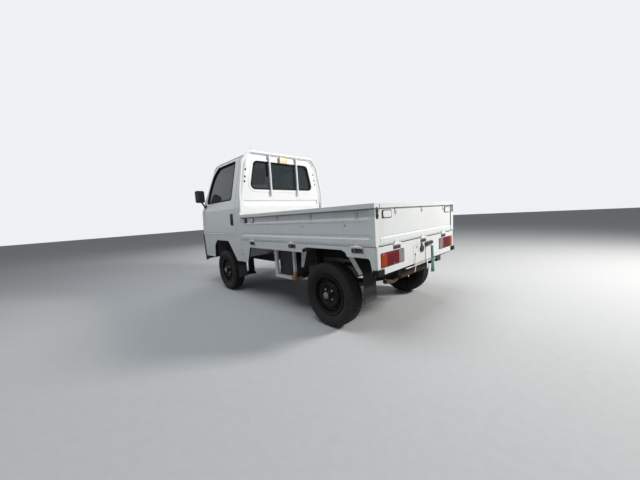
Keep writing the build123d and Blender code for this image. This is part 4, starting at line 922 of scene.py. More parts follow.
def side_y(x, z):
    """Distance of the cab's side from the middle plane: straight, then round the corner circle."""
    half, behind, bow, radius = section_at(z)
    start = NOSE - behind - bow - radius
    past = np.clip(np.asarray(x, float) - start, 0, radius * 0.999)
    return half - radius + np.sqrt(radius ** 2 - past ** 2)


def nose_x(y, z):
    """How far forward the nose reaches at (y, z): a circle through the middle and the corners."""
    half, behind, bow, radius = section_at(z)
    bend = (half ** 2 + bow ** 2) / (2 * bow)
    return NOSE - behind - bend + np.sqrt(bend ** 2 - np.asarray(y, float) ** 2)


print("side at the waist and the gutter", float(side_y(0.6, 1.06)), float(side_y(0.6, 1.69)))

# %% [markdown]
# Tyres. A road tyre is a profile turned round the axle, but its tread is cut into ribs and blocks,
# so the radius also depends on the angle. The profile lists the sidewall's steps and the edges of
# the grooves; the grooves' depth is taken off as one array. Painting alone would leave a smooth
# outline, and the near rear tyre is the largest round thing in the picture.

# %% Tyres
TREAD_EDGES = [-56, -52, -41, -40, -34, -33, -16, -15, -9, -8, 8, 9, 15, 16, 33, 34, 40, 41, 52, 56]
GROOVED = [0, 0, 0, 1, 1, 0, 0, 1, 1, 0, 0, 1, 1, 0, 0, 1, 1, 0, 0, 0]
SIDEWALL = [(0.1680, 50.0), (0.1720, 53.5), (0.1760, 55.5), (0.1790, 56.0), (0.1805, 58.2), (0.1830, 60.0),
            (0.1845, 61.0), (0.1870, 63.4), (0.1900, 65.6), (0.1960, 69.0), (0.2030, 71.8), (0.2045, 73.2),
            (0.2075, 73.6), (0.2090, 72.8), (0.2160, 73.6), (0.2240, 73.2), (0.2255, 73.8), (0.2300, 73.3),
            (0.2320, 71.8), (0.2400, 69.6), (0.2480, 66.8), (0.2560, 63.6), (0.2610, 60.4), (0.2640, 58.0)]
PITCHES = 64
STEPS = 4 * PITCHES
GROOVE_DEPTH = 0.0065
OUTER_CUT = 0.0055
MIDDLE_CUT = 0.0030


def tyre_surface():
    """Radius and offset over (angle, profile). Radius is the profile's, less the deeper of the round
    grooves and the cross cuts, which come every fourth step in the outer ribs and every eighth in
    the middle ones. One half is turned a step further, so the two halves' blocks are staggered."""
    tread = np.array(TREAD_EDGES) / 1000
    grooved = np.array(GROOVED)
    crown = WHEEL_RADIUS - 0.003 * (tread / 0.056) ** 2
    wall = np.array(SIDEWALL)
    radius = np.concatenate([wall[:, 0], crown, wall[::-1, 0]])
    offset = np.concatenate([-wall[:, 1] / 1000, tread, wall[::-1, 1] / 1000])
    depth = np.concatenate([np.zeros(len(wall)), grooved * GROOVE_DEPTH, np.zeros(len(wall))])
    step = np.arange(STEPS)[:, None]
    outer = (np.abs(offset) > 0.0405) & (radius > 0.2605)
    middle = (np.abs(offset) < 0.0335) & (np.abs(offset) > 0.0155)
    cuts = OUTER_CUT * outer * (step % 4 == 0) + MIDDLE_CUT * middle * (step % 8 == 2)
    lean = 1 + (offset > 0) * 2
    angle = 2 * math.pi * (step + 0.5 * lean) / STEPS
    r = radius - np.maximum(depth, cuts)
    return np.stack([r * np.sin(angle), np.broadcast_to(offset, r.shape), r * np.cos(angle)], -1)


ring = tyre_surface()
tyre_faces = grid_faces(*ring.shape[:2], close_rows=True)
print("profile", ring.shape[1], "points, turned", ring.shape[0], "times")

# %% [markdown]
# Tyre rubber is never plain black outdoors. Grey-brown dust lies on it in patches, and more of it
# near the ground.

# %% Tyre rubber and the four tyres


def tyre_finish():
    """Black rubber gone grey-brown with dust, more so near the ground."""
    material, tree, shader = new_material("tyre_rubber")
    vector = coordinates(tree)
    dust = noise(tree, vector, 18.0, 7.0, 0.7)
    broad = noise(tree, vector, 3.0, 4.0, 0.5)
    amount = arithmetic(tree, "MULTIPLY", ramp(tree, dust, 0.35, 0.75), ramp(tree, broad, 0.3, 0.7, 0.25, 0.7))
    low = ramp(tree, axes_of(tree)[2], 0.16, 0.0, 0.0, 0.5)
    amount = arithmetic(tree, "ADD", amount, arithmetic(tree, "MULTIPLY", low, dust))
    tree.links.new(blend_colour(tree, amount, (0.010, 0.010, 0.011), (0.050, 0.047, 0.042)),
                   shader.inputs["Base Color"])
    tree.links.new(ramp(tree, dust, 0.3, 0.7, 0.66, 0.9), shader.inputs["Roughness"])
    shader.inputs["Specular IOR Level"].default_value = 0.25
    add_bump(tree, shader, dust, 0.25, 0.0008)
    return material


tyre_rubber = tyre_finish()
for end, axle in AXLES.items():
    for side, sign in SIDES.items():
        points = ring.reshape(-1, 3) * (1, sign, 1) + (axle, sign * WHEEL_PLANE, WHEEL_RADIUS)
        node = f"tyre_{end}_{side}"
        piece = place(node + "_tread", make_mesh(node, points, tyre_faces, 28), f"wheel_{end}_{side}",
                      tyre_rubber, "tyre_rubber")
        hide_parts(node)
print("tyre", len(tyre_faces), "faces each")

# %% [markdown]
# Wheel nuts sit on a 100 mm circle, with a valve in the disc and a rusty cap on the hub. A nut is
# a six-sided ring that narrows to a dome: its outline comes from the distance to the flats.

# %% Hexagon nuts


def hexagon(width, steps=36):
    """The outline of a hexagon by angle: half the width across flats over the cosine to the flat."""
    angle = np.linspace(0, 2 * math.pi, steps, endpoint=False)
    from_flat = (angle + math.pi / 6) % (math.pi / 3) - math.pi / 6
    return angle, width / 2 / np.cos(from_flat)


def nut(centre, width, height, outward=1.0, axis="y"):
    """A hexagon nut with a chamfered top and a rounded end: rings of one outline, scaled."""
    angle, reach = hexagon(width)
    levels = [(0.0, 1.0), (0.75, 1.0), (0.92, 0.93), (1.0, 0.80), (1.10, 0.62), (1.32, 0.50), (1.42, 0.25)]
    rings = []
    for level, scale in levels:
        r = reach * scale if scale > 0.85 else np.full_like(reach, width / 2 * scale)
        rings.append(np.stack([r * np.cos(angle), np.full_like(r, level * height * outward), r * np.sin(angle)], 1))
    points = np.concatenate(rings)
    if axis == "x":
        points = points[:, [1, 0, 2]]
    return points + np.asarray(centre), tube_faces(len(rings), len(angle))


print("a nut has", len(nut((0, 0, 0), 0.019, 0.012)[0]), "points")

# %% [markdown]
# On each wheel. The hub cap belongs to what the wheel turns on, so it stands still while the wheel
# turns, but the nuts and the valve turn with it. Each form is made for the left side and mirrored.

# %% Wheel nuts, valves and hub caps
rusty_zinc = plain_finish("rusty_zinc", (0.30, 0.27, 0.24), (0.15, 0.075, 0.035), 0.55, 130, 0.9, 0.5, 0.0006,
                          metal=0.6)
DISC_FACE = WHEEL_PLANE + 0.038
HUB_END = 0.6775
NUT_CIRCLE = 0.050
CAP = [(0.0268, 0.0), (0.0268, 0.006), (0.0262, 0.0085), (0.0235, 0.0100), (0.0200, 0.0104), (0.0190, 0.0125),
       (0.0120, 0.0150), (0.0, 0.0158)]
VALVE = [(0.0038, 0.0), (0.0040, 0.010), (0.0030, 0.012), (0.0030, 0.026), (0.0036, 0.027), (0.0036, 0.034),
         (0.0015, 0.035), (0.0, 0.035)]
cap_points, cap_faces = turned([(r, HUB_END - WHEEL_PLANE + y) for r, y in CAP], (0, 0, 0))
valve_points, valve_faces = turned(VALVE, (0, 0, 0), steps=14)
for end, axle in AXLES.items():
    for side, sign in SIDES.items():
        wheel = f"wheel_{end}_{side}"
        carrier = f"knuckle_{side}" if end == "front" else "chassis"
        nuts = [nut((axle + NUT_CIRCLE * math.cos(a), sign * (DISC_FACE - 0.0005),
                     WHEEL_RADIUS + NUT_CIRCLE * math.sin(a)), 0.019, 0.012, sign)
                for a in (math.pi / 4 + k * math.pi / 2 for k in range(4))]
        fitting(f"wheel_nuts_{end}_{side}", nuts, wheel, rusty_zinc, "rusty_steel", 30)
        cap = cap_points * (1, sign, 1) + (axle, sign * WHEEL_PLANE, WHEEL_RADIUS)
        fitting(f"hub_cap_{end}_{side}", [(cap, cap_faces)], carrier, rusty_zinc, "rusty_steel", 30)
        valve = valve_points * (1, sign, 1) + (axle + 0.1265, sign * (DISC_FACE - 0.022), WHEEL_RADIUS)
        fitting(f"valve_{end}_{side}", [(valve, valve_faces)], wheel, rubber, "black_rubber", 40)
print("nuts, caps and valves on four wheels")

# %% [markdown]
# Tail lamps. Each is a black base with one lens over it: amber outside, red in the middle, clear
# inside. The lens bulges a little, so it is a grid whose offset is the product of two curved edges.

# %% Tail lamps
LAMP = {"y": (0.326, 0.645), "z": (0.538, 0.642)}


def crowned(width, height, radius, bulge, rows=20, columns=32):
    """A rounded rectangle with a bulge. Each side is drawn in near its ends, by 0.29 of the radius,
    and the height is bulge * (1 - u^6) * (1 - v^6)."""
    u, v = np.meshgrid(np.linspace(-1, 1, columns), np.linspace(-1, 1, rows))
    pull_u = 1 - (radius / (width / 2)) * 0.29 * np.abs(v) ** 8
    pull_v = 1 - (radius / (height / 2)) * 0.29 * np.abs(u) ** 8
    rise = bulge * (1 - u ** 6) * (1 - v ** 6)
    return u * pull_u * width / 2, v * pull_v * height / 2, rise


def tail_lens_mesh(sign):
    """The lens over one lamp, facing backwards, with a short skirt that closes it to the base."""
    width = LAMP["y"][1] - LAMP["y"][0] - 0.008
    height = LAMP["z"][1] - LAMP["z"][0] - 0.008
    across, up, rise = crowned(width, height, 0.010, 0.0035)
    x = BED_REAR - 0.0035 - rise
    y = sign * (sum(LAMP["y"]) / 2 + across)
    z = sum(LAMP["z"]) / 2 + up
    front = np.stack([x, y, z], -1)
    rows, columns = front.shape[:2]
    edge = grid_border(rows, columns)
    skirt = front.reshape(-1, 3)[edge] + (0.014, 0, 0)
    points = np.concatenate([front.reshape(-1, 3), skirt])
    start = rows * columns
    count = len(edge)
    k = np.arange(count)
    sides = np.stack([edge, edge[(k + 1) % count], start + (k + 1) % count, start + k], 1)
    return make_mesh("tail_lens", points, np.concatenate([grid_faces(rows, columns), sides]), 45,
                     extra=[list(range(start + count - 1, start - 1, -1))])


LAMP_WIDTH = LAMP["y"][1] - LAMP["y"][0]
LAMP_HEIGHT = LAMP["z"][1] - LAMP["z"][0]
for side, sign in SIDES.items():
    middle = (BED_REAR + 0.0085, sign * sum(LAMP["y"]) / 2, sum(LAMP["z"]) / 2)
    block = moulded(middle, (0.020, LAMP_WIDTH - 0.0008, LAMP_HEIGHT - 0.0008), 0.010, 0.0015, "x")
    base = fitting(f"tail_lamp_base_{side}", [block], "chassis", black_plastic, "black_plastic")
    lens = place(f"tail_lamp_lens_{side}", tail_lens_mesh(sign), "chassis", tail_lens, "lamp_red")
    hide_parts("tail_lamps")
    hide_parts("tail_lamps")
    screws = [turned([(0.0042, 0.0), (0.0042, -0.0012), (0.0034, -0.0022), (0.0, -0.0024)],
                     (BED_REAR - 0.0068, sign * y, z), "x", 14)
              for y, z in ((0.350, 0.632), (0.480, 0.551), (0.620, 0.632))]
    fitting(f"tail_lamp_screws_{side}", screws, "chassis", zinc, "rusty_steel")
print("tail lamps")

# %% [markdown]
# Each window sits in a thick black rubber. The rubber's line is the window's outline, drawn in the
# side or back view and then laid on the cab's form, so it leans in as the glass does. Long runs need
# points along them, or the rubber would cut the corner of the curved windscreen.

# %% Window rubbers


def inset_outline(corners, radii, inset, step=0.02):
    """A rounded outline, drawn in towards its middle by about the inset, with even points."""
    corners = np.asarray(corners, float)
    middle = (corners.min(0) + corners.max(0)) / 2
    reach = np.abs(corners - middle).max(0)
    return resample(rounded_path(middle + (corners - middle) * (1 - inset / reach), radii, steps=10), step)


SIDE_WINDOW = [(DOOR_REAR + 0.115, 1.170), (DOOR_FRONT - 0.052, 1.170), (DOOR_FRONT - 0.088, 1.394),
               (DOOR_FRONT - 0.178, 1.566), (DOOR_FRONT - 0.312, 1.656), (DOOR_REAR + 0.119, 1.656)]
SIDE_RADII = [0.040, 0.034, 0.15, 0.14, 0.10, 0.045]
SIDE_TILT = 0.22       # the cab's side leans in by this much per metre of height
SCREEN_UP = (0.86, 0, 0.51)       # square to the windscreen, outwards
side_line = inset_outline(SIDE_WINDOW, SIDE_RADII, 0.0085)
for side, sign in SIDES.items():
    out = side_y(side_line[:, 0], side_line[:, 1]) - 0.0055
    line = np.stack([side_line[:, 0], sign * out, side_line[:, 1]], 1)
    tube = sweep(line, round_outline(0.020, 0.015, 0.005, 4), closed=True, up=(0, sign, SIDE_TILT))
    fitting(f"door_rubber_{side}", [tube], f"door_{side}", rubber, "black_rubber", 50)

rear_line = inset_outline([(-0.512, 1.288), (0.512, 1.288), (0.432, 1.640), (-0.432, 1.640)], [0.085] * 4, 0.0095)
line = np.stack([np.full(len(rear_line), CAB_BACK + 0.0055), rear_line[:, 0], rear_line[:, 1]], 1)
rear_tube = sweep(line, round_outline(0.022, 0.021, 0.006, 4), closed=True, up=(-1, 0, 0))
screen_line = inset_outline([(-0.604, 1.178), (0.604, 1.178), (0.482, 1.650), (-0.482, 1.650)], [0.085] * 4, 0.0095)
line = np.stack([nose_x(screen_line[:, 0], screen_line[:, 1]) - 0.0050, screen_line[:, 0], screen_line[:, 1]], 1)
screen_tube = sweep(line, round_outline(0.024, 0.016, 0.006, 4), closed=True, up=SCREEN_UP)
fitting("rear_window_rubber", [rear_tube], "chassis", rubber, "black_rubber", 50)
fitting("windscreen_rubber", [screen_tube], "chassis", rubber, "black_rubber", 50)
print("rubbers", len(side_line), len(rear_line), len(screen_line), "points round")

# %% [markdown]
# A rain gutter runs from the back of the cab, over the door and down the windscreen pillar, and a
# pressed ledge crosses the body under the door. Both are narrow strips that stand a few millimetres
# proud and catch the light, so each is a small section swept along a line on the cab's form.

# %% Gutters and ledges
GUTTER = [(CAB_BACK + 0.030, 1.6935), (DOOR_FRONT - 0.262, 1.6935), (DOOR_FRONT - 0.128, 1.6115),
          (DOOR_FRONT - 0.020, 1.4020), (DOOR_FRONT + 0.008, 1.1900)]
gutter_line = resample(rounded_path(GUTTER, [0, 0.12, 0.13, 0.14, 0], closed=False, steps=10), 0.025, closed=False)
gutter_section = np.array([(-0.0055, -0.003), (-0.0055, 0.0035), (-0.0035, 0.0055), (0.0015, 0.0050), (0.0030, 0.0030),
                           (0.0055, 0.0035), (0.0060, -0.003)])
LEDGE_Z = 0.7545
ledge_section = np.array([(-0.010, -0.004), (-0.008, 0.0005), (-0.002, 0.0038), (0.003, 0.0040), (0.0055, 0.0025),
                          (0.0060, -0.004)])
for side, sign in SIDES.items():
    out = side_y(gutter_line[:, 0], gutter_line[:, 1])
    line = np.stack([gutter_line[:, 0], sign * (out + 0.0015), gutter_line[:, 1]], 1)
    section = gutter_section if sign > 0 else gutter_section[::-1] * (-1, 1)
    gutter = sweep(line, section, up=(0, sign, SIDE_TILT))
    fitting(f"rain_gutter_{side}", [gutter], "chassis", cab_paint, "body_white", 50)
    x = np.linspace(CAB_BACK + 0.052, DOOR_FRONT + 0.010, 40)
    line = np.stack([x, sign * side_y(x, np.full_like(x, LEDGE_Z)), np.full_like(x, LEDGE_Z)], 1)
    section = ledge_section if sign < 0 else ledge_section[::-1] * (-1, 1)
    ledge = sweep(line, section, up=(0, sign, 0))
    fitting(f"body_ledge_{side}", [ledge], "chassis", cab_paint, "body_white", 50)
print("gutters and ledges")

# %% [markdown]
# A number plate is a blank pressed sheet: flat, with a raised rim. Its height is a function of the
# distance to the nearest edge, over a grid. Two bolts hold it.

# %% Number plate
PLATE_SIZE = (0.330, 0.160)
PLATE_BOLTS = (-0.105, 0.105)


def plate_mesh(centre, width, height, facing):
    """A thin sheet with a rim. With e the distance to the edge in mm, it rises 1.4 mm by a smooth
    step where e goes from 2 to 4, and falls back by another where e goes from 7 to 9."""
    u, v = np.meshgrid(np.linspace(-0.5, 0.5, 67), np.linspace(-0.5, 0.5, 34))
    edge = np.minimum((0.5 - np.abs(u)) * width, (0.5 - np.abs(v)) * height) * 1000
    up = np.clip((edge - 2) / 2, 0, 1)
    down = np.clip((edge - 7) / 2, 0, 1)
    rise = 0.0014 * (up * up * (3 - 2 * up) - down * down * (3 - 2 * down))
    front = np.stack([facing * rise, -facing * u * width, v * height], -1).reshape(-1, 3)
    back = front * (0, 1, 1) - (facing * 0.0012, 0, 0)
    rows, columns = u.shape
    edge_line = grid_border(rows, columns)
    k = np.arange(len(edge_line))
    after = edge_line[(k + 1) % len(edge_line)]
    total = rows * columns
    faces = np.concatenate([grid_faces(rows, columns), grid_faces(rows, columns) + total,
                            np.stack([edge_line, after, after + total, edge_line + total], 1)])
    return make_mesh("plate", np.concatenate([front, back]) + np.asarray(centre), faces, 40)


def plate_bolts(name, x, middle, z, outward):
    """Two bolts on a plate's upper edge."""
    bolts = [nut((x, middle + y, z), 0.012, 0.005, outward, "x") for y in PLATE_BOLTS]
    fitting(name, bolts, "chassis", zinc, "rusty_steel", 30)


plate_white = plain_finish("plate_white", (0.74, 0.75, 0.74), (0.50, 0.48, 0.42), 0.42, 60, 0.25, 0.15)
PLATE_MIDDLE = 0.012
rear_plate = plate_mesh((BED_REAR + 0.0005, PLATE_MIDDLE, 0.5600), *PLATE_SIZE, -1)
place("number_plate_rear", rear_plate, "chassis", plate_white, "guard_white")
plate_bolts("plate_bolts_rear", BED_REAR - 0.0005, PLATE_MIDDLE, 0.624, -1.0)
print("rear plate", PLATE_SIZE)

# %% [markdown]
# Above the plate hang a round black lamp mount and a plate lamp in a black housing. Two nylon ties
# are left on the panel, each a thin strip that sags a little, with its square head at the top. Low
# on the right is a socket for a trailer's plug.

# %% Round the number plate
MOUNT = [(0.0, 0.0), (0.0295, 0.0), (0.0300, -0.004), (0.0290, -0.007), (0.0230, -0.009), (0.0220, -0.007),
         (0.0120, -0.007), (0.0100, -0.0095), (0.0, -0.0095)]
mount = [turned(MOUNT, (BED_REAR - 0.0008, 0.031, 0.597), "x", 40),
         moulded((BED_REAR - 0.003, 0.031, 0.630), (0.005, 0.022, 0.030), 0.004, 0.001, "x")]
fitting("lamp_mount", mount, "chassis", black_plastic, "black_plastic", 40)
housing = [moulded((BED_REAR - 0.0045, -0.104, 0.6290), (0.0110, 0.150, 0.026), 0.008, 0.002, "x"),
           moulded((BED_REAR - 0.0055, -0.060, 0.6140), (0.0080, 0.046, 0.022), 0.006, 0.002, "x")]
fitting("plate_lamp", housing, "chassis", black_plastic, "black_plastic", 40)
window = moulded((BED_REAR - 0.0055, -0.118, 0.6160), (0.0075, 0.052, 0.009), 0.003, 0.001, "x")
fitting("plate_lamp_lens", [window], "chassis", head_lens, "lamp_clear")
ties = []
for start, end, wide in (((0.142, 0.566), (0.173, 0.425), 0.009), ((-0.045, 0.600), (-0.059, 0.412), 0.014)):
    t = np.linspace(0, 1, 14)
    line = np.stack([BED_REAR - 0.0045 - 0.004 * np.sin(math.pi * t), start[0] + (end[0] - start[0]) * t ** 1.4,
                     start[1] + (end[1] - start[1]) * t], 1)
    head = (BED_REAR - 0.0045, start[0], start[1] + 0.002)
    ties.append(sweep(line, round_outline(wide, 0.0020, 0.0009, 3), up=(-1, 0, 0.02)))
    ties.append(moulded(head, (0.007, wide + 0.004, 0.014), 0.002, 0.0008, "x"))
fitting("nylon_ties", ties, "chassis", nylon, "old_plastic", 50)
socket = moulded((BED_REAR + 0.003, -0.296, 0.463), (0.022, 0.090, 0.046), 0.006, 0.002, "x")
fitting("towing_socket", [socket], "chassis", black_plastic, "black_plastic")
print("lamp, mount, ties and socket")

# %% [markdown]
# Gate fittings. Each latch is a white lever over a black steel plate, and on the tail gate that plate
# is partly painted shadow round its lever; the rear posts of the side gates carry a plate with two round
# catches; and in each hinge's pocket of the sill lies a dark plate that is painted shade.

# %% Gate fittings
# Near-black steel; in the hinges' pockets its black is painted shade, and round the tail latches partly so.
black_steel_and_shade = plain_finish("black_steel_and_shade", (0.024, 0.024, 0.026), (0.11, 0.065, 0.038), 0.58, 80, 0.5, 0.3, 0.0005,
                          shine=0.3)
GATE_FRONT = BED_FRONT - 0.006
GATE_FACE = HALF_WIDTH - 0.0105
SIDE_HINGES = (BED_REAR + 0.158, BED_REAR + 0.904, BED_FRONT - 0.246)
TAIL_HINGES = (-0.43, 0.0, 0.43)
CATCH = [(0.0125, 0.0008), (0.0125, -0.0036), (0.0100, -0.0046), (0.0075, -0.0036), (0.0070, 0.0)]
for side, sign in SIDES.items():
    body = f"side_gate_{side}"
    plates = [moulded((GATE_FRONT - 0.080, sign * GATE_FACE, 0.911), (0.142, 0.003, 0.058), 0.010, 0.001),
              moulded((GATE_FRONT - 0.262, sign * GATE_FACE, 0.911), (0.068, 0.003, 0.056), 0.010, 0.001)]
    stud = [(0.0, 0.0), (0.011, 0.0), (0.011, sign * 0.006), (0.008, sign * 0.008), (0.0, sign * 0.008)]
    plates += [turned(stud, (x, sign * (HALF_WIDTH - 0.009), 0.893), "y", 20)
               for x in (GATE_FRONT - 0.130, GATE_FRONT - 0.118)]
    fitting(f"latch_plates_{side}", plates, body, black_steel_and_shade, "rusty_steel", 40)
    catch = [moulded((BED_REAR + 0.0002, sign * 0.667, 0.915), (0.0022, 0.028, 0.078), 0.010, 0.0006, "x")]
    catch += [turned(CATCH, (BED_REAR - 0.0004, sign * 0.667, z), "x", 24) for z in (0.898, 0.932)]
    fitting(f"gate_catch_{side}", catch, body, black_steel_and_shade, "rusty_steel", 40)
    buffer = [(0.0, sign * 0.003), (0.004, sign * 0.003), (0.0065, sign * 0.001), (0.0068, -sign * 0.002)]
    buffers = [turned(buffer, (BED_REAR + x, sign * (HALF_WIDTH - 0.0060), 0.838), "y", 18)
               for x in (0.2635, 0.7355)]
    fitting(f"gate_buffers_{side}", buffers, body, trim_plastic, "trim_grey", 40)
    # A dark plate in each hinge's pocket of the sill: painted shade.
    shade_plates = [moulded((x, sign * 0.6921, 0.6585), (0.106, 0.0020, 0.034), 0.004, 0.0005) for x in SIDE_HINGES]
    shade_plates += [moulded((x + 0.038 * way, sign * 0.6983, 0.6615), (0.024, 0.0016, 0.024), 0.003, 0.0005)
                for x in SIDE_HINGES for way in (-1, 1)]
    fitting(f"hinge_pocket_shades_{side}", shade_plates, "chassis", black_steel_and_shade, "rusty_steel")
    plug = turned([(0.0, sign * 0.0022), (0.005, sign * 0.002), (0.0070, sign * 0.0008), (0.0072, -sign * 0.001)],
                  (BED_FRONT + 0.001, sign * 0.6917, 0.525), "y", 20)
    fitting(f"apron_plug_{side}", [plug], "chassis", rubber, "black_rubber", 40)
# The tail latches' black plates are partly painted shadow: they show as a dark rim round each lever.
backs = [moulded((BED_REAR + 0.0060, sign * 0.541, 0.9060), (0.0030, 0.124, 0.058), 0.012, 0.001, "x")
         for sign in SIDES.values()]
fitting("tail_latch_plates", backs, "tail_gate", black_steel_and_shade, "rusty_steel")
# The same painted shade in the pockets of the tail gate's hinges.
shade_plates = [moulded((BED_REAR - 0.0006, y, 0.6610), (0.0016, 0.104, 0.024), 0.004, 0.0005, "x") for y in TAIL_HINGES]
fitting("tail_hinge_pocket_shades", shade_plates, "chassis", black_steel_and_shade, "rusty_steel")
print("latches, catches, pockets")

# %% [markdown]
# The cab's back has three small vents on each side of the window; a black louvre fills each. The
# door mirrors get their glass: a shallow dome, as on a convex mirror, whose near-black colour is a
# painted reflection of dark trees.

# %% Vents and mirrors
vents = []
for z, inset in ((1.370, 0.1155), (1.428, 0.1265), (1.512, 0.1405)):
    for sign in SIDES.values():
        y = sign * (HALF_WIDTH - inset - 0.011)
        vents.append(moulded((CAB_BACK + 0.0062, y, z + 0.011), (0.003, 0.0225, 0.0225), 0.003, 0.0005, "x"))
        vents += [moulded((CAB_BACK + 0.0042, y, z + 0.011 + step), (0.0040, 0.021, 0.0022), 0.0008, 0.0004, "x")
                  for step in (-0.006, 0.0, 0.006)]
fitting("back_vents", vents, "chassis", black_plastic, "black_plastic")


def mirror_finish():
    """Mirror glass with dust: a low, even roughness and a near-black colour, a painted reflection of dark trees."""
    material, tree, shader = new_material("mirror_glass")
    dust = noise(tree, coordinates(tree), 25.0, 6.0, 0.7)
    dusty = ramp(tree, dust, 0.5, 0.8, 0.0, 0.5)
    # The near-black colour is a painted dark reflection; the lighter one is dust.
    tree.links.new(blend_colour(tree, dusty, (0.035, 0.045, 0.050), (0.10, 0.10, 0.09)), shader.inputs["Base Color"])
    tree.links.new(ramp(tree, dust, 0.3, 0.8, 0.05, 0.14), shader.inputs["Roughness"])
    return material


mirror_glass = mirror_finish()
MIRROR_HEIGHT = 1.285
for side, sign in SIDES.items():
    across, up, rise = crowned(0.100, 0.150, 0.020, 0.0025, 16, 12)
    x = np.full_like(across, DOOR_FRONT - 0.0425) - rise
    front = np.stack([x, sign * (HALF_WIDTH + 0.052 + across), MIRROR_HEIGHT + up], -1)
    place(f"mirror_glass_{side}", make_mesh("mirror", front.reshape(-1, 3), grid_faces(*across.shape), 60),
          f"door_{side}", mirror_glass, "window_glass")
print("vents and mirrors")

# %% [markdown]
# Underneath, three pieces change colour along their length. The first is the wheel arch liners,
# which are black inside with white stays.

# %% Two-tone liners


def liner_finish():
    """Black under the arch; white where |Y| > 592.8 mm and the piece is clear of the tyre in X."""
    material, tree, shader = new_material("liner_two_tone")
    axes = axes_of(tree)
    vector = coordinates(tree)
    out = ramp(tree, absolute(tree, axes[1]), 0.5926, 0.5930)
    along = absolute(tree, arithmetic(tree, "SUBTRACT", axes[0], AXLES["rear"]))
    plate = arithmetic(tree, "MULTIPLY", out, ramp(tree, along, 0.165, 0.168))
    dust = noise(tree, vector, 30.0, 6.0, 0.7)
    dark = blend_colour(tree, ramp(tree, dust, 0.4, 0.8, 0.0, 0.6), (0.016, 0.016, 0.016), (0.055, 0.050, 0.045))
    light = blend_colour(tree, ramp(tree, dust, 0.42, 0.75, 0.0, 0.7), (0.70, 0.71, 0.70), (0.34, 0.29, 0.22))
    tree.links.new(blend_colour(tree, plate, dark, light), shader.inputs["Base Color"])
    tree.links.new(ramp(tree, dust, 0.2, 0.8, 0.55, 0.8), shader.inputs["Roughness"])
    add_bump(tree, shader, dust, 0.3, 0.0008)
    return material


repaint("rear_liners", liner_finish())
print("liners painted")

# %% [markdown]
# The battery's hanging frame has rusted at its low rear corner, and the mud flaps are dark at the
# top and grey below.

# %% Two-tone frame and flaps


def frame_finish():
    """White enamel on the outer face. It turns to rust at the low rear corner, and the hidden inner
    beams, where |Y| is under 540 mm, are dark."""
    material, tree, shader = new_material("frame_enamel")
    axes = axes_of(tree)
    vector = coordinates(tree)
    grain = noise(tree, vector, 45.0, 7.0, 0.7)
    back = ramp(tree, axes[0], -0.56, -0.645)
    low = ramp(tree, axes[2], 0.43, 0.33)
    near = arithmetic(tree, "ADD", arithmetic(tree, "MULTIPLY", back, low), ramp(tree, back, 0.8, 1.0, 0.0, 0.12))
    amount = ramp(tree, arithmetic(tree, "ADD", arithmetic(tree, "MULTIPLY", near, 1.1),
                                   arithmetic(tree, "MULTIPLY", grain, 0.7)), 0.55, 1.10)
    brown = blend_colour(tree, ramp(tree, grain, 0.35, 0.65), (0.46, 0.24, 0.11), (0.17, 0.080, 0.038))
    outer = blend_colour(tree, amount, (0.70, 0.69, 0.70), brown)
    inner = ramp(tree, absolute(tree, axes[1]), 0.540, 0.545, 1.0, 0.0)
    tree.links.new(blend_colour(tree, inner, outer, (0.030, 0.027, 0.024)), shader.inputs["Base Color"])
    tree.links.new(ramp(tree, amount, 0.0, 1.0, 0.42, 0.85), shader.inputs["Roughness"])
    add_bump(tree, shader, arithmetic(tree, "MULTIPLY", amount, grain), 0.5, 0.001)
    return material


def flap_finish():
    """Black rubber above a slanting line, grey below it, with specks of dust all over."""
    material, tree, shader = new_material("flap_two_tone")
    axes = axes_of(tree)
    vector = coordinates(tree)
    dust = noise(tree, vector, 26.0, 6.0, 0.7)
    level = arithmetic(tree, "ADD", axes[2], arithmetic(tree, "MULTIPLY", dust, 0.05))
    low = ramp(tree, level, 0.402, 0.378, 0.0, 0.9)
    colour = blend_colour(tree, low, (0.018, 0.020, 0.025), (0.072, 0.074, 0.076))
    tree.links.new(blend_colour(tree, ramp(tree, dust, 0.55, 0.8, 0.0, 0.35), colour, (0.20, 0.18, 0.15)),
                   shader.inputs["Base Color"])
    tree.links.new(ramp(tree, dust, 0.2, 0.8, 0.68, 0.88), shader.inputs["Roughness"])
    shader.inputs["Specular IOR Level"].default_value = 0.25
    add_bump(tree, shader, dust, 0.4, 0.001)
    return material


skins = bpy.data.objects
skins["battery_frame_skin"].data.materials[0] = frame_finish()
skins["mud_flaps_skin"].data.materials[0] = flap_finish()
print("frame and flaps painted")

# %% [markdown]
# The seats are foam under stretched cloth, and cloth under tension is never a box: each panel is
# fullest in its middle and pulls in between its corners. A cushion therefore starts as a slightly
# smaller rounded block, is remeshed evenly, and is blown up by the Cloth modifier for twenty frames.
# The movement is capped, so it stays inside the model's seat, and piping then follows its edge.

# %% Seat blanks
SEAT_Y = 0.325
SEAT_HALF = 0.225
SEAT_REAR = CAB_BACK + 0.040 + 0.025
RISER = NOSE - 0.534
SEAT_DECK = 0.715
SOFT_EDGE = 0.028


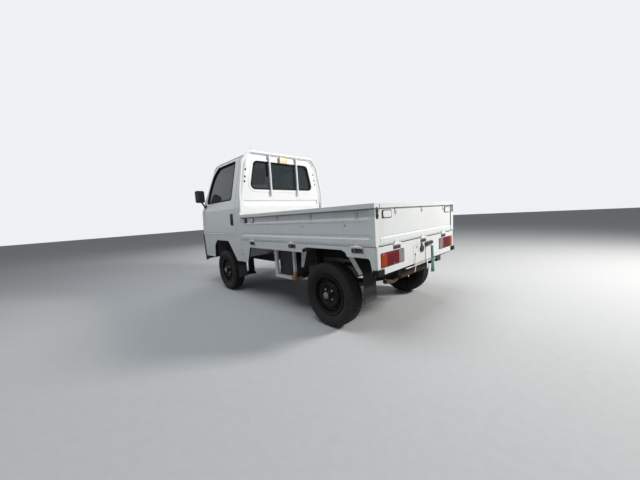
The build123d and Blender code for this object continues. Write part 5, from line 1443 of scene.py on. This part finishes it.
def side_block(points, half, inset, radius=0.030, rows=9):
    """A solid from a side view (X, Z). The outline is rounded and moved in by the inset, and it
    shrinks towards both ends in Y along a quarter circle, so no edge of the block is sharp."""
    points = np.asarray(points, float)
    outline = resample(rounded_path(points, [radius] * len(points), steps=8), 0.016)
    centre = (points.max(0) + points.min(0)) / 2
    reach = (points.max(0) - points.min(0)) / 2
    angle = np.linspace(-math.pi / 2, math.pi / 2, rows)
    levels = np.sign(angle) * (half - inset - SOFT_EDGE) + SOFT_EDGE * np.sin(angle)
    levels[rows // 2] = 0.0
    shrink = 1 - (inset + SOFT_EDGE * (1 - np.cos(angle)))[:, None] / reach
    rings = centre + (outline[None] - centre) * shrink[:, None]
    solid = np.stack([rings[..., 0], np.broadcast_to(levels[:, None], rings.shape[:2]), rings[..., 1]], -1)
    return solid.reshape(-1, 3), tube_faces(rows, len(outline))


def remeshed(mesh, size):
    """The same form as an even cage of squares, by a voxel remesh."""
    thing = bpy.data.objects.new("blank", mesh)
    bpy.context.scene.collection.objects.link(thing)
    remesh = thing.modifiers.new("even", "REMESH")
    remesh.mode = "VOXEL"
    remesh.voxel_size = size
    even = bpy.data.meshes.new_from_object(thing.evaluated_get(bpy.context.evaluated_depsgraph_get()))
    bpy.data.objects.remove(thing)
    return even


print("seat deck at", SEAT_DECK)

# %% [markdown]
# The Cloth modifier pushes every point outwards by its pressure while the cloth's own stiffness
# pulls back, which is what fills the middle of a panel and leaves its seams behind. A channel is
# cut afterwards, as a dip along the normals.

# %% Cloth under pressure


def blown_up(mesh, pressure, frames, cap):
    """Cloth under pressure, with each point's move held to the cap; the result is a plain mesh."""
    before = point_values(mesh)
    thing = bpy.data.objects.new("cushion_blank", mesh)
    bpy.context.scene.collection.objects.link(thing)
    cloth_modifier = thing.modifiers.new("cloth", "CLOTH")
    settings = cloth_modifier.settings
    settings.use_pressure = True
    settings.uniform_pressure_force = pressure
    settings.quality = 4
    settings.tension_stiffness = 18
    settings.compression_stiffness = 18
    settings.shear_stiffness = 8
    settings.bending_stiffness = 2.0
    settings.effector_weights.gravity = 0
    cloth_modifier.point_cache.frame_end = frames
    scene = bpy.context.scene
    for number in range(1, frames + 1):
        scene.frame_set(number)
    full = bpy.data.meshes.new_from_object(thing.evaluated_get(bpy.context.evaluated_depsgraph_get()))
    scene.frame_set(1)
    bpy.data.objects.remove(thing)
    after = point_values(full)
    move = after - before
    far = np.linalg.norm(move, axis=1)[:, None]
    after = before + move * np.minimum(1, cap / np.maximum(far, 1e-9))
    full.vertices.foreach_set("co", after.ravel())
    full.update()
    return full, float(far.max())


def channelled(points, places, depth, axis, low, high, normals):
    """Sewn channels: near each place along an axis the surface sinks by a cosine dip, 9 mm wide
    each way, wherever its normal faces the sitter."""
    facing = np.clip(normals @ np.array([0.6, 0.0, 0.8]), 0, 1)
    inside = ((points[:, 1] > low) & (points[:, 1] < high)).astype(float)
    dip = np.zeros(len(points))
    for middle in places:
        away = np.abs(points[:, axis] - middle) / 0.009
        dip = np.maximum(dip, np.where(away < 1, 0.5 + 0.5 * np.cos(math.pi * np.minimum(away, 1)), 0))
    return points - normals * (dip * depth * facing * inside)[:, None]


print("cloth and channels ready")

# %% [markdown]
# The three cushions in side view, each with its half width, how far the blank is moved in, the
# size of its squares, and the cap on the cloth's movement.

# %% Seat forms
PRESSURE = 1.6
CLOTH_FRAMES = 20


def on_seat(*points):
    """Side view points, counted from the seat's rear and deck."""
    return [(SEAT_REAR + x, SEAT_DECK + z) for x, z in points]


FORMS = {
    "cushion": (on_seat((0.105, 0.004)) + [(RISER - 0.062, SEAT_DECK + 0.004), (RISER - 0.054, SEAT_DECK + 0.118),
                                           (RISER - 0.092, SEAT_DECK + 0.146)]
                + on_seat((0.205, 0.128), (0.110, 0.110)), SEAT_HALF, 0.022, 0.0080, 0.022),
    "back": (on_seat((0.066, 0.112), (0.172, 0.150), (0.172, 0.255), (0.104, 0.596), (0.014, 0.596)),
             SEAT_HALF, 0.022, 0.0080, 0.022),
    "head_rest": (on_seat((0.006, 0.641), (0.083, 0.641), (0.074, 0.779), (0.002, 0.779)),
                  0.125, 0.010, 0.0060, 0.009),
}
made_seats = {}
for part, (points, half, inset, voxel, cap) in FORMS.items():
    blank = make_mesh(part, *side_block(points, half, inset), smooth_angle=180)
    even = remeshed(blank, voxel)
    swelled = 0.0
    even, swelled = blown_up(even, PRESSURE, CLOTH_FRAMES, cap)
    made_seats[part] = even
    print(part, len(even.vertices), "points, swelled", round(swelled * 1000, 1), "mm")

# %% [markdown]
# The seams come after the remesh, or it would smooth them away: two lengthwise channels on the
# cushion and the back, and piping where the side panel is sewn on. Both seats are the same seat,
# so one result is placed twice. Steel stalks carry the head rest.

# %% Seats
# part: places of the cross channels, and the axis they are counted along
CROSS_CHANNELS = {"cushion": ((SEAT_REAR + 0.30, SEAT_REAR + 0.44), 0),
                  "back": ((SEAT_DECK + 0.33, SEAT_DECK + 0.46), 2)}
LONG_CHANNELS = (-0.085, 0.085)
for part, mesh in made_seats.items():
    points = point_values(mesh)
    normals = point_values(mesh, "normal")
    if part in CROSS_CHANNELS:
        rows, axis = CROSS_CHANNELS[part]
        points = channelled(points, LONG_CHANNELS, 0.006, 1, -0.2, 0.2, normals)
        points = channelled(points, rows, 0.005, axis, *LONG_CHANNELS, normals)
    for side, sign in SIDES.items():
        copy = mesh.copy()
        copy.vertices.foreach_set("co", (points + (0, sign * SEAT_Y, 0)).ravel())
        copy.polygons.foreach_set("use_smooth", np.ones(len(copy.polygons), bool))
        copy.update()
        cushion = place(f"seat_{part}_{side}", copy, "chassis", cloth, "seat_cloth")
        finer = cushion.modifiers.new("finer", "SUBSURF")
        finer.levels = 1
        finer.render_levels = 1
        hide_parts("seats")
print("two seats of", len(made_seats), "cushions each")

# %% [markdown]
# Piping is a cord sewn into the seam. Its line is drawn in the side view and then laid on the
# blown-up cloth, so that it neither sinks in nor stands off.

# %% Piping and stalks


def laid_on(line, surface, normals, proud):
    """A line moved to a surface: each point goes to the mean of its six nearest surface points,
    weighted by the inverse of their distance, and then out along their mean normal."""
    away = np.linalg.norm(line[:, None] - surface[None], axis=2)
    near = np.argpartition(away, 6, axis=1)[:, :6]
    weight = 1 / (np.take_along_axis(away, near, 1) + 0.002)
    weight /= weight.sum(1, keepdims=True)
    out = (normals[near] * weight[..., None]).sum(1)
    out /= np.linalg.norm(out, axis=1)[:, None]
    return (surface[near] * weight[..., None]).sum(1) + out * proud


EDGES = {part: resample(rounded_path(FORMS[part][0], [0.034] * len(FORMS[part][0]), steps=8), 0.012)
         for part in ("back", "cushion")}
for side, sign in SIDES.items():
    piping = []
    for part, outline in EDGES.items():
        surface = point_values(made_seats[part])
        normals = point_values(made_seats[part], "normal")
        middle = (outline.max(0) + outline.min(0)) / 2
        reach = (outline.max(0) - outline.min(0)) / 2
        drawn = middle + (outline - middle) * (1 - 0.009 / reach)
        for end in (-1, 1):
            line = np.stack([drawn[:, 0], np.full(len(drawn), end * (SEAT_HALF - 0.016)), drawn[:, 1]], 1)
            line = laid_on(line, surface, normals, 0.0015) + (0, sign * SEAT_Y, 0)
            piping.append(sweep(line, circle(0.0032, 8), closed=True, up=(0, 1, 0)))
    trim = fitting(f"seat_piping_{side}", piping, "chassis", black_plastic, "black_plastic", 60)
    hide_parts("seats")
    stalks = []
    for y in (-0.055, 0.055):
        line = np.array([(SEAT_REAR + 0.050, sign * SEAT_Y + y, SEAT_DECK + 0.575),
                         (SEAT_REAR + 0.047, sign * SEAT_Y + y, SEAT_DECK + 0.620),
                         (SEAT_REAR + 0.044, sign * SEAT_Y + y, SEAT_DECK + 0.665)])
        stalks.append(sweep(line, circle(0.0055, 12), up=(0, 1, 0)))
    posts = fitting(f"seat_stalks_{side}", stalks, "chassis", zinc, "rusty_steel", 50)
    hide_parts("seats")
print("piping along", {part: len(line) for part, line in EDGES.items()}, "points")

# %% [markdown]
# A door shuts on a rubber that lines its opening. The rubber lies in the gap, 2 mm below the skin,
# along the door's top, rear edge and foot, so the gap reads as a dark line: the rubber is real, and this
# close to the skin its black is partly painted shade. The front edge carries the hinges and swings
# inwards a little, so no rubber runs there.

# %% Door seals and gap shade
DOOR_BOTTOM = 0.768
DOOR_TOP = 1.684
DOOR_LINE = [(DOOR_FRONT - 0.250, DOOR_TOP), (DOOR_REAR + 0.020, DOOR_TOP), (DOOR_REAR, DOOR_BOTTOM),
             (DOOR_FRONT - 0.060, DOOR_BOTTOM)]
gap_line = np.array(DOOR_LINE) + ((0.010, 0.003), (-0.003, 0.003), (-0.003, -0.003), (0.0, -0.003))
gap_line = resample(rounded_path(gap_line, [0, 0.034, 0.018, 0], closed=False, steps=8), 0.03, closed=False)
seal_and_shade_section = round_outline(0.0052, 0.0084, 0.0015, 3)
for side, sign in SIDES.items():
    out = side_y(gap_line[:, 0], gap_line[:, 1]) - 0.0062
    line = np.stack([gap_line[:, 0], sign * out, gap_line[:, 1]], 1)
    seal = sweep(line, seal_and_shade_section, up=(0, sign, SIDE_TILT))
    # The rubber's black in the gap is partly painted shade.
    fitting(f"door_seal_and_gap_shade_{side}", [seal], "chassis", rubber, "black_rubber", 50)
print("door seals", round(float(np.linalg.norm(np.diff(gap_line, axis=0), axis=1).sum()), 2), "m each")

# %% [markdown]
# The gaps round the tail gate are painted shade: dark rubber strips lie in them. The upright ones
# stand on the side gates' ends, which the tail gate shuts between, and open with them. The one along
# its foot lies on the rear panel, in pieces between the hinges.

# %% Gate gap shade
GATE_END = HALF_WIDTH - 0.060
FOOT_PIECES = ((-0.622, -0.495), (-0.365, -0.065), (0.065, 0.365), (0.495, 0.622))
for side, sign in SIDES.items():
    # A dark strip in the gap beside the tail gate: painted shade.
    upright_shade = moulded((BED_REAR + 0.018, sign * (GATE_END - 0.0027), 0.8400), (0.030, 0.0044, 0.272), 0.0015, 0.0008)
    fitting(f"gate_end_gap_shade_{side}", [upright_shade], f"side_gate_{side}", rubber, "black_rubber", 40)
# Dark strips in the gap under the tail gate: painted shade.
foot = [moulded((BED_REAR + 0.020, (low + high) / 2, 0.6873), (0.028, high - low, 0.0038), 0.0015, 0.0008, "z")
        for low, high in FOOT_PIECES]
fitting("tail_gate_foot_gap_shade", foot, "chassis", rubber, "black_rubber", 40)
print("gate seals, the foot in", len(foot), "pieces")

# %% [markdown]
# The nose isn't in the photograph, so it stays plain: black bezels round the lamps, ribs in the
# headlamp glass, two wipers that lie along the foot of the windscreen, and a blank plate. All of
# them follow the nose's bow, so each line is drawn in the front view and then laid on the form.
# For the bezels a ray finds the panel itself, since near its corner the nose leaves the one circle
# that the other lines are laid on.

# %% Headlamps
head_ribs = ribbed_lens("head_lens_ribs", 420.0, [(0.34, 0.36, 0.37)], [], rough=0.10)
lens_shader = head_ribs.node_tree.nodes["Principled BSDF"]
lens_shader.inputs["Metallic"].default_value = 0.65
lens_shader.inputs["Coat Weight"].default_value = 0.8
repaint("headlamps", head_ribs)

nose_data = nodes["cab_front"].data
nose_tree = BVHTree.FromPolygons(point_values(nose_data).tolist(), [tuple(p.vertices) for p in nose_data.polygons])
BEZELS = ((0.385, 0.578), (0.590, 0.668))
bezel_section = round_outline(0.0080, 0.0060, 0.0020, 3)
for side, sign in SIDES.items():
    rims = []
    for inner, outer in BEZELS:
        corners = [(sign * (outer + 0.004), 0.798), (sign * (outer + 0.004), 0.916),
                   (sign * (inner - 0.004), 0.916), (sign * (inner - 0.004), 0.798)]
        line = resample(rounded_path(corners, [0.014] * 4, steps=6), 0.012)
        x = np.array([nose_tree.ray_cast((2.0, y, z), (-1.0, 0.0, 0.0))[0].x for y, z in line.tolist()])
        x = (np.roll(x, 1) + 2 * x + np.roll(x, -1)) / 4
        rims.append(sweep(np.stack([x + 0.0012, line[:, 0], line[:, 1]], 1), bezel_section, closed=True, up=(1, 0, 0)))
    fitting(f"lamp_bezels_{side}", rims, "chassis", black_plastic, "black_plastic", 50)
print("bezels", len(SIDES) * len(BEZELS))

# %% [markdown]
# A wiper is an arm, a blade carrier and the blade, which nearly touches the glass, and a turned
# boss where the arm pivots.

# %% Wipers and front plate


def on_nose(outline, proud):
    """Points (Y, Z) laid on the nose, standing proud of it."""
    outline = np.asarray(outline, float)
    return np.stack([nose_x(outline[:, 0], outline[:, 1]) + proud, outline[:, 0], outline[:, 1]], 1)


WIPER_FOOT = 1.162
WIPER_PIVOTS = (0.380, -0.110)
BOSS = [(0.0, 0.0145), (0.010, 0.013), (0.012, 0.009), (0.012, -0.006), (0.0, -0.006)]
wipers = []
for pivot in WIPER_PIVOTS:
    t = np.linspace(0, 1, 14)[:, None]
    arm = np.concatenate([pivot - 0.255 * t, WIPER_FOOT + 0.046 * t ** 1.3], 1)
    blade = np.concatenate([pivot - 0.070 - 0.370 * t, 1.1960 + 0.014 * np.sin(math.pi * t) + 0.012 * t], 1)
    wipers.append(sweep(on_nose(arm, 0.0150), round_outline(0.010, 0.0045, 0.002, 3), up=SCREEN_UP))
    wipers.append(sweep(on_nose(blade, 0.0085), round_outline(0.007, 0.0050, 0.002, 3), up=SCREEN_UP))
    wipers.append(sweep(on_nose(blade, 0.0035), round_outline(0.0025, 0.0080, 0.001, 3), up=SCREEN_UP))
    wipers.append(turned(BOSS, (float(nose_x(pivot, WIPER_FOOT)), pivot, WIPER_FOOT), "x", 20))
fitting("wipers", wipers, "chassis", black_plastic, "black_plastic", 50)

bumper_face = NOSE - 0.0035
front_plate = plate_mesh((bumper_face + 0.0020, 0.0, 0.6300), *PLATE_SIZE, 1)
place("number_plate_front", front_plate, "chassis", plate_white, "guard_white")
plate_bolts("plate_bolts_front", bumper_face + 0.0025, 0.0, 0.694, 1.0)
print("nose fittings", len(wipers), "wiper pieces")

# %% [markdown]
# Inside, what shows through the windows: the binnacle over the dash with its three dials, the gear
# and handbrake levers between the seats, and their rubber boots.

# %% Cabin
STEER_Y = -0.310
DIAL = [(0.036, 0.0), (0.036, -0.0015), (0.033, -0.0030), (0.0320, -0.0010), (0.0, -0.0010)]
KNOB = [(0.0, -0.022), (0.011, -0.020), (0.014, -0.006), (0.018, 0.006), (0.017, 0.017), (0.009, 0.024), (0.0, 0.025)]
BOOT = [(0.038, 0.0), (0.036, 0.004), (0.030, 0.010), (0.031, 0.014), (0.023, 0.022), (0.024, 0.026), (0.015, 0.036),
        (0.016, 0.040), (0.007, 0.052), (0.0, 0.052)]
hood = [moulded((1.302, STEER_Y, 1.1300), (0.088, 0.300, 0.070), 0.022, 0.008, "x"),
        moulded((1.300, 0.300, 1.1100), (0.080, 0.260, 0.028), 0.010, 0.004, "x")]
fitting("dash_binnacle", hood, "chassis", trim_plastic, "trim_grey", 40)
dials = [turned(DIAL, (1.2575, STEER_Y + y, 1.1310), "x", 32) for y in (-0.080, 0.0, 0.080)]
fitting("dash_dials", dials, "chassis", black_plastic, "black_plastic", 40)
levers = []
for x, y, reach, lean in ((1.030, -0.030, 0.225, 0.030), (0.985, 0.045, 0.110, -0.075)):
    t = np.linspace(0, 1, 12)[:, None]
    line = (x, y, SEAT_DECK + 0.0020) + t * (lean, 0.0, reach) + np.sin(math.pi * t) * (0.008, 0, 0)
    levers.append(sweep(line, circle(0.0055, 12), up=(0, 1, 0)))
    levers += [turned(KNOB, tuple(line[-1]), "z", 24), turned(BOOT, (x, y, SEAT_DECK + 0.0015), "z", 28)]
fitting("cabin_levers", levers, "chassis", black_plastic, "black_plastic", 50)
print("binnacle,", len(dials), "dials and two levers")

# %% [markdown]
# The floor is a pale, very large sheet. The world shows the same tone to the camera and in gloss.

# %% Floor
FLOOR_REACH = 30.0
floor_mesh = bpy.data.meshes.new("floor")
corners = [(sx * FLOOR_REACH, sy * FLOOR_REACH, 0) for sx, sy in ((-1, -1), (1, -1), (1, 1), (-1, 1))]
floor_mesh.from_pydata(corners, [], [(0, 1, 2, 3)])
floor = bpy.data.objects.new("floor", floor_mesh)
bpy.context.scene.collection.objects.link(floor)
floor_finish, tree, shader = new_material("floor")
grit = noise(tree, coordinates(tree), 20.0, 6.0, 0.6)
tree.links.new(blend_colour(tree, ramp(tree, grit, 0.3, 0.7), (0.50, 0.51, 0.52), (0.53, 0.54, 0.55)),
               shader.inputs["Base Color"])
shader.inputs["Roughness"].default_value = 0.9
floor_mesh.materials.append(floor_finish)
print("floor", 2 * FLOOR_REACH, "m square")
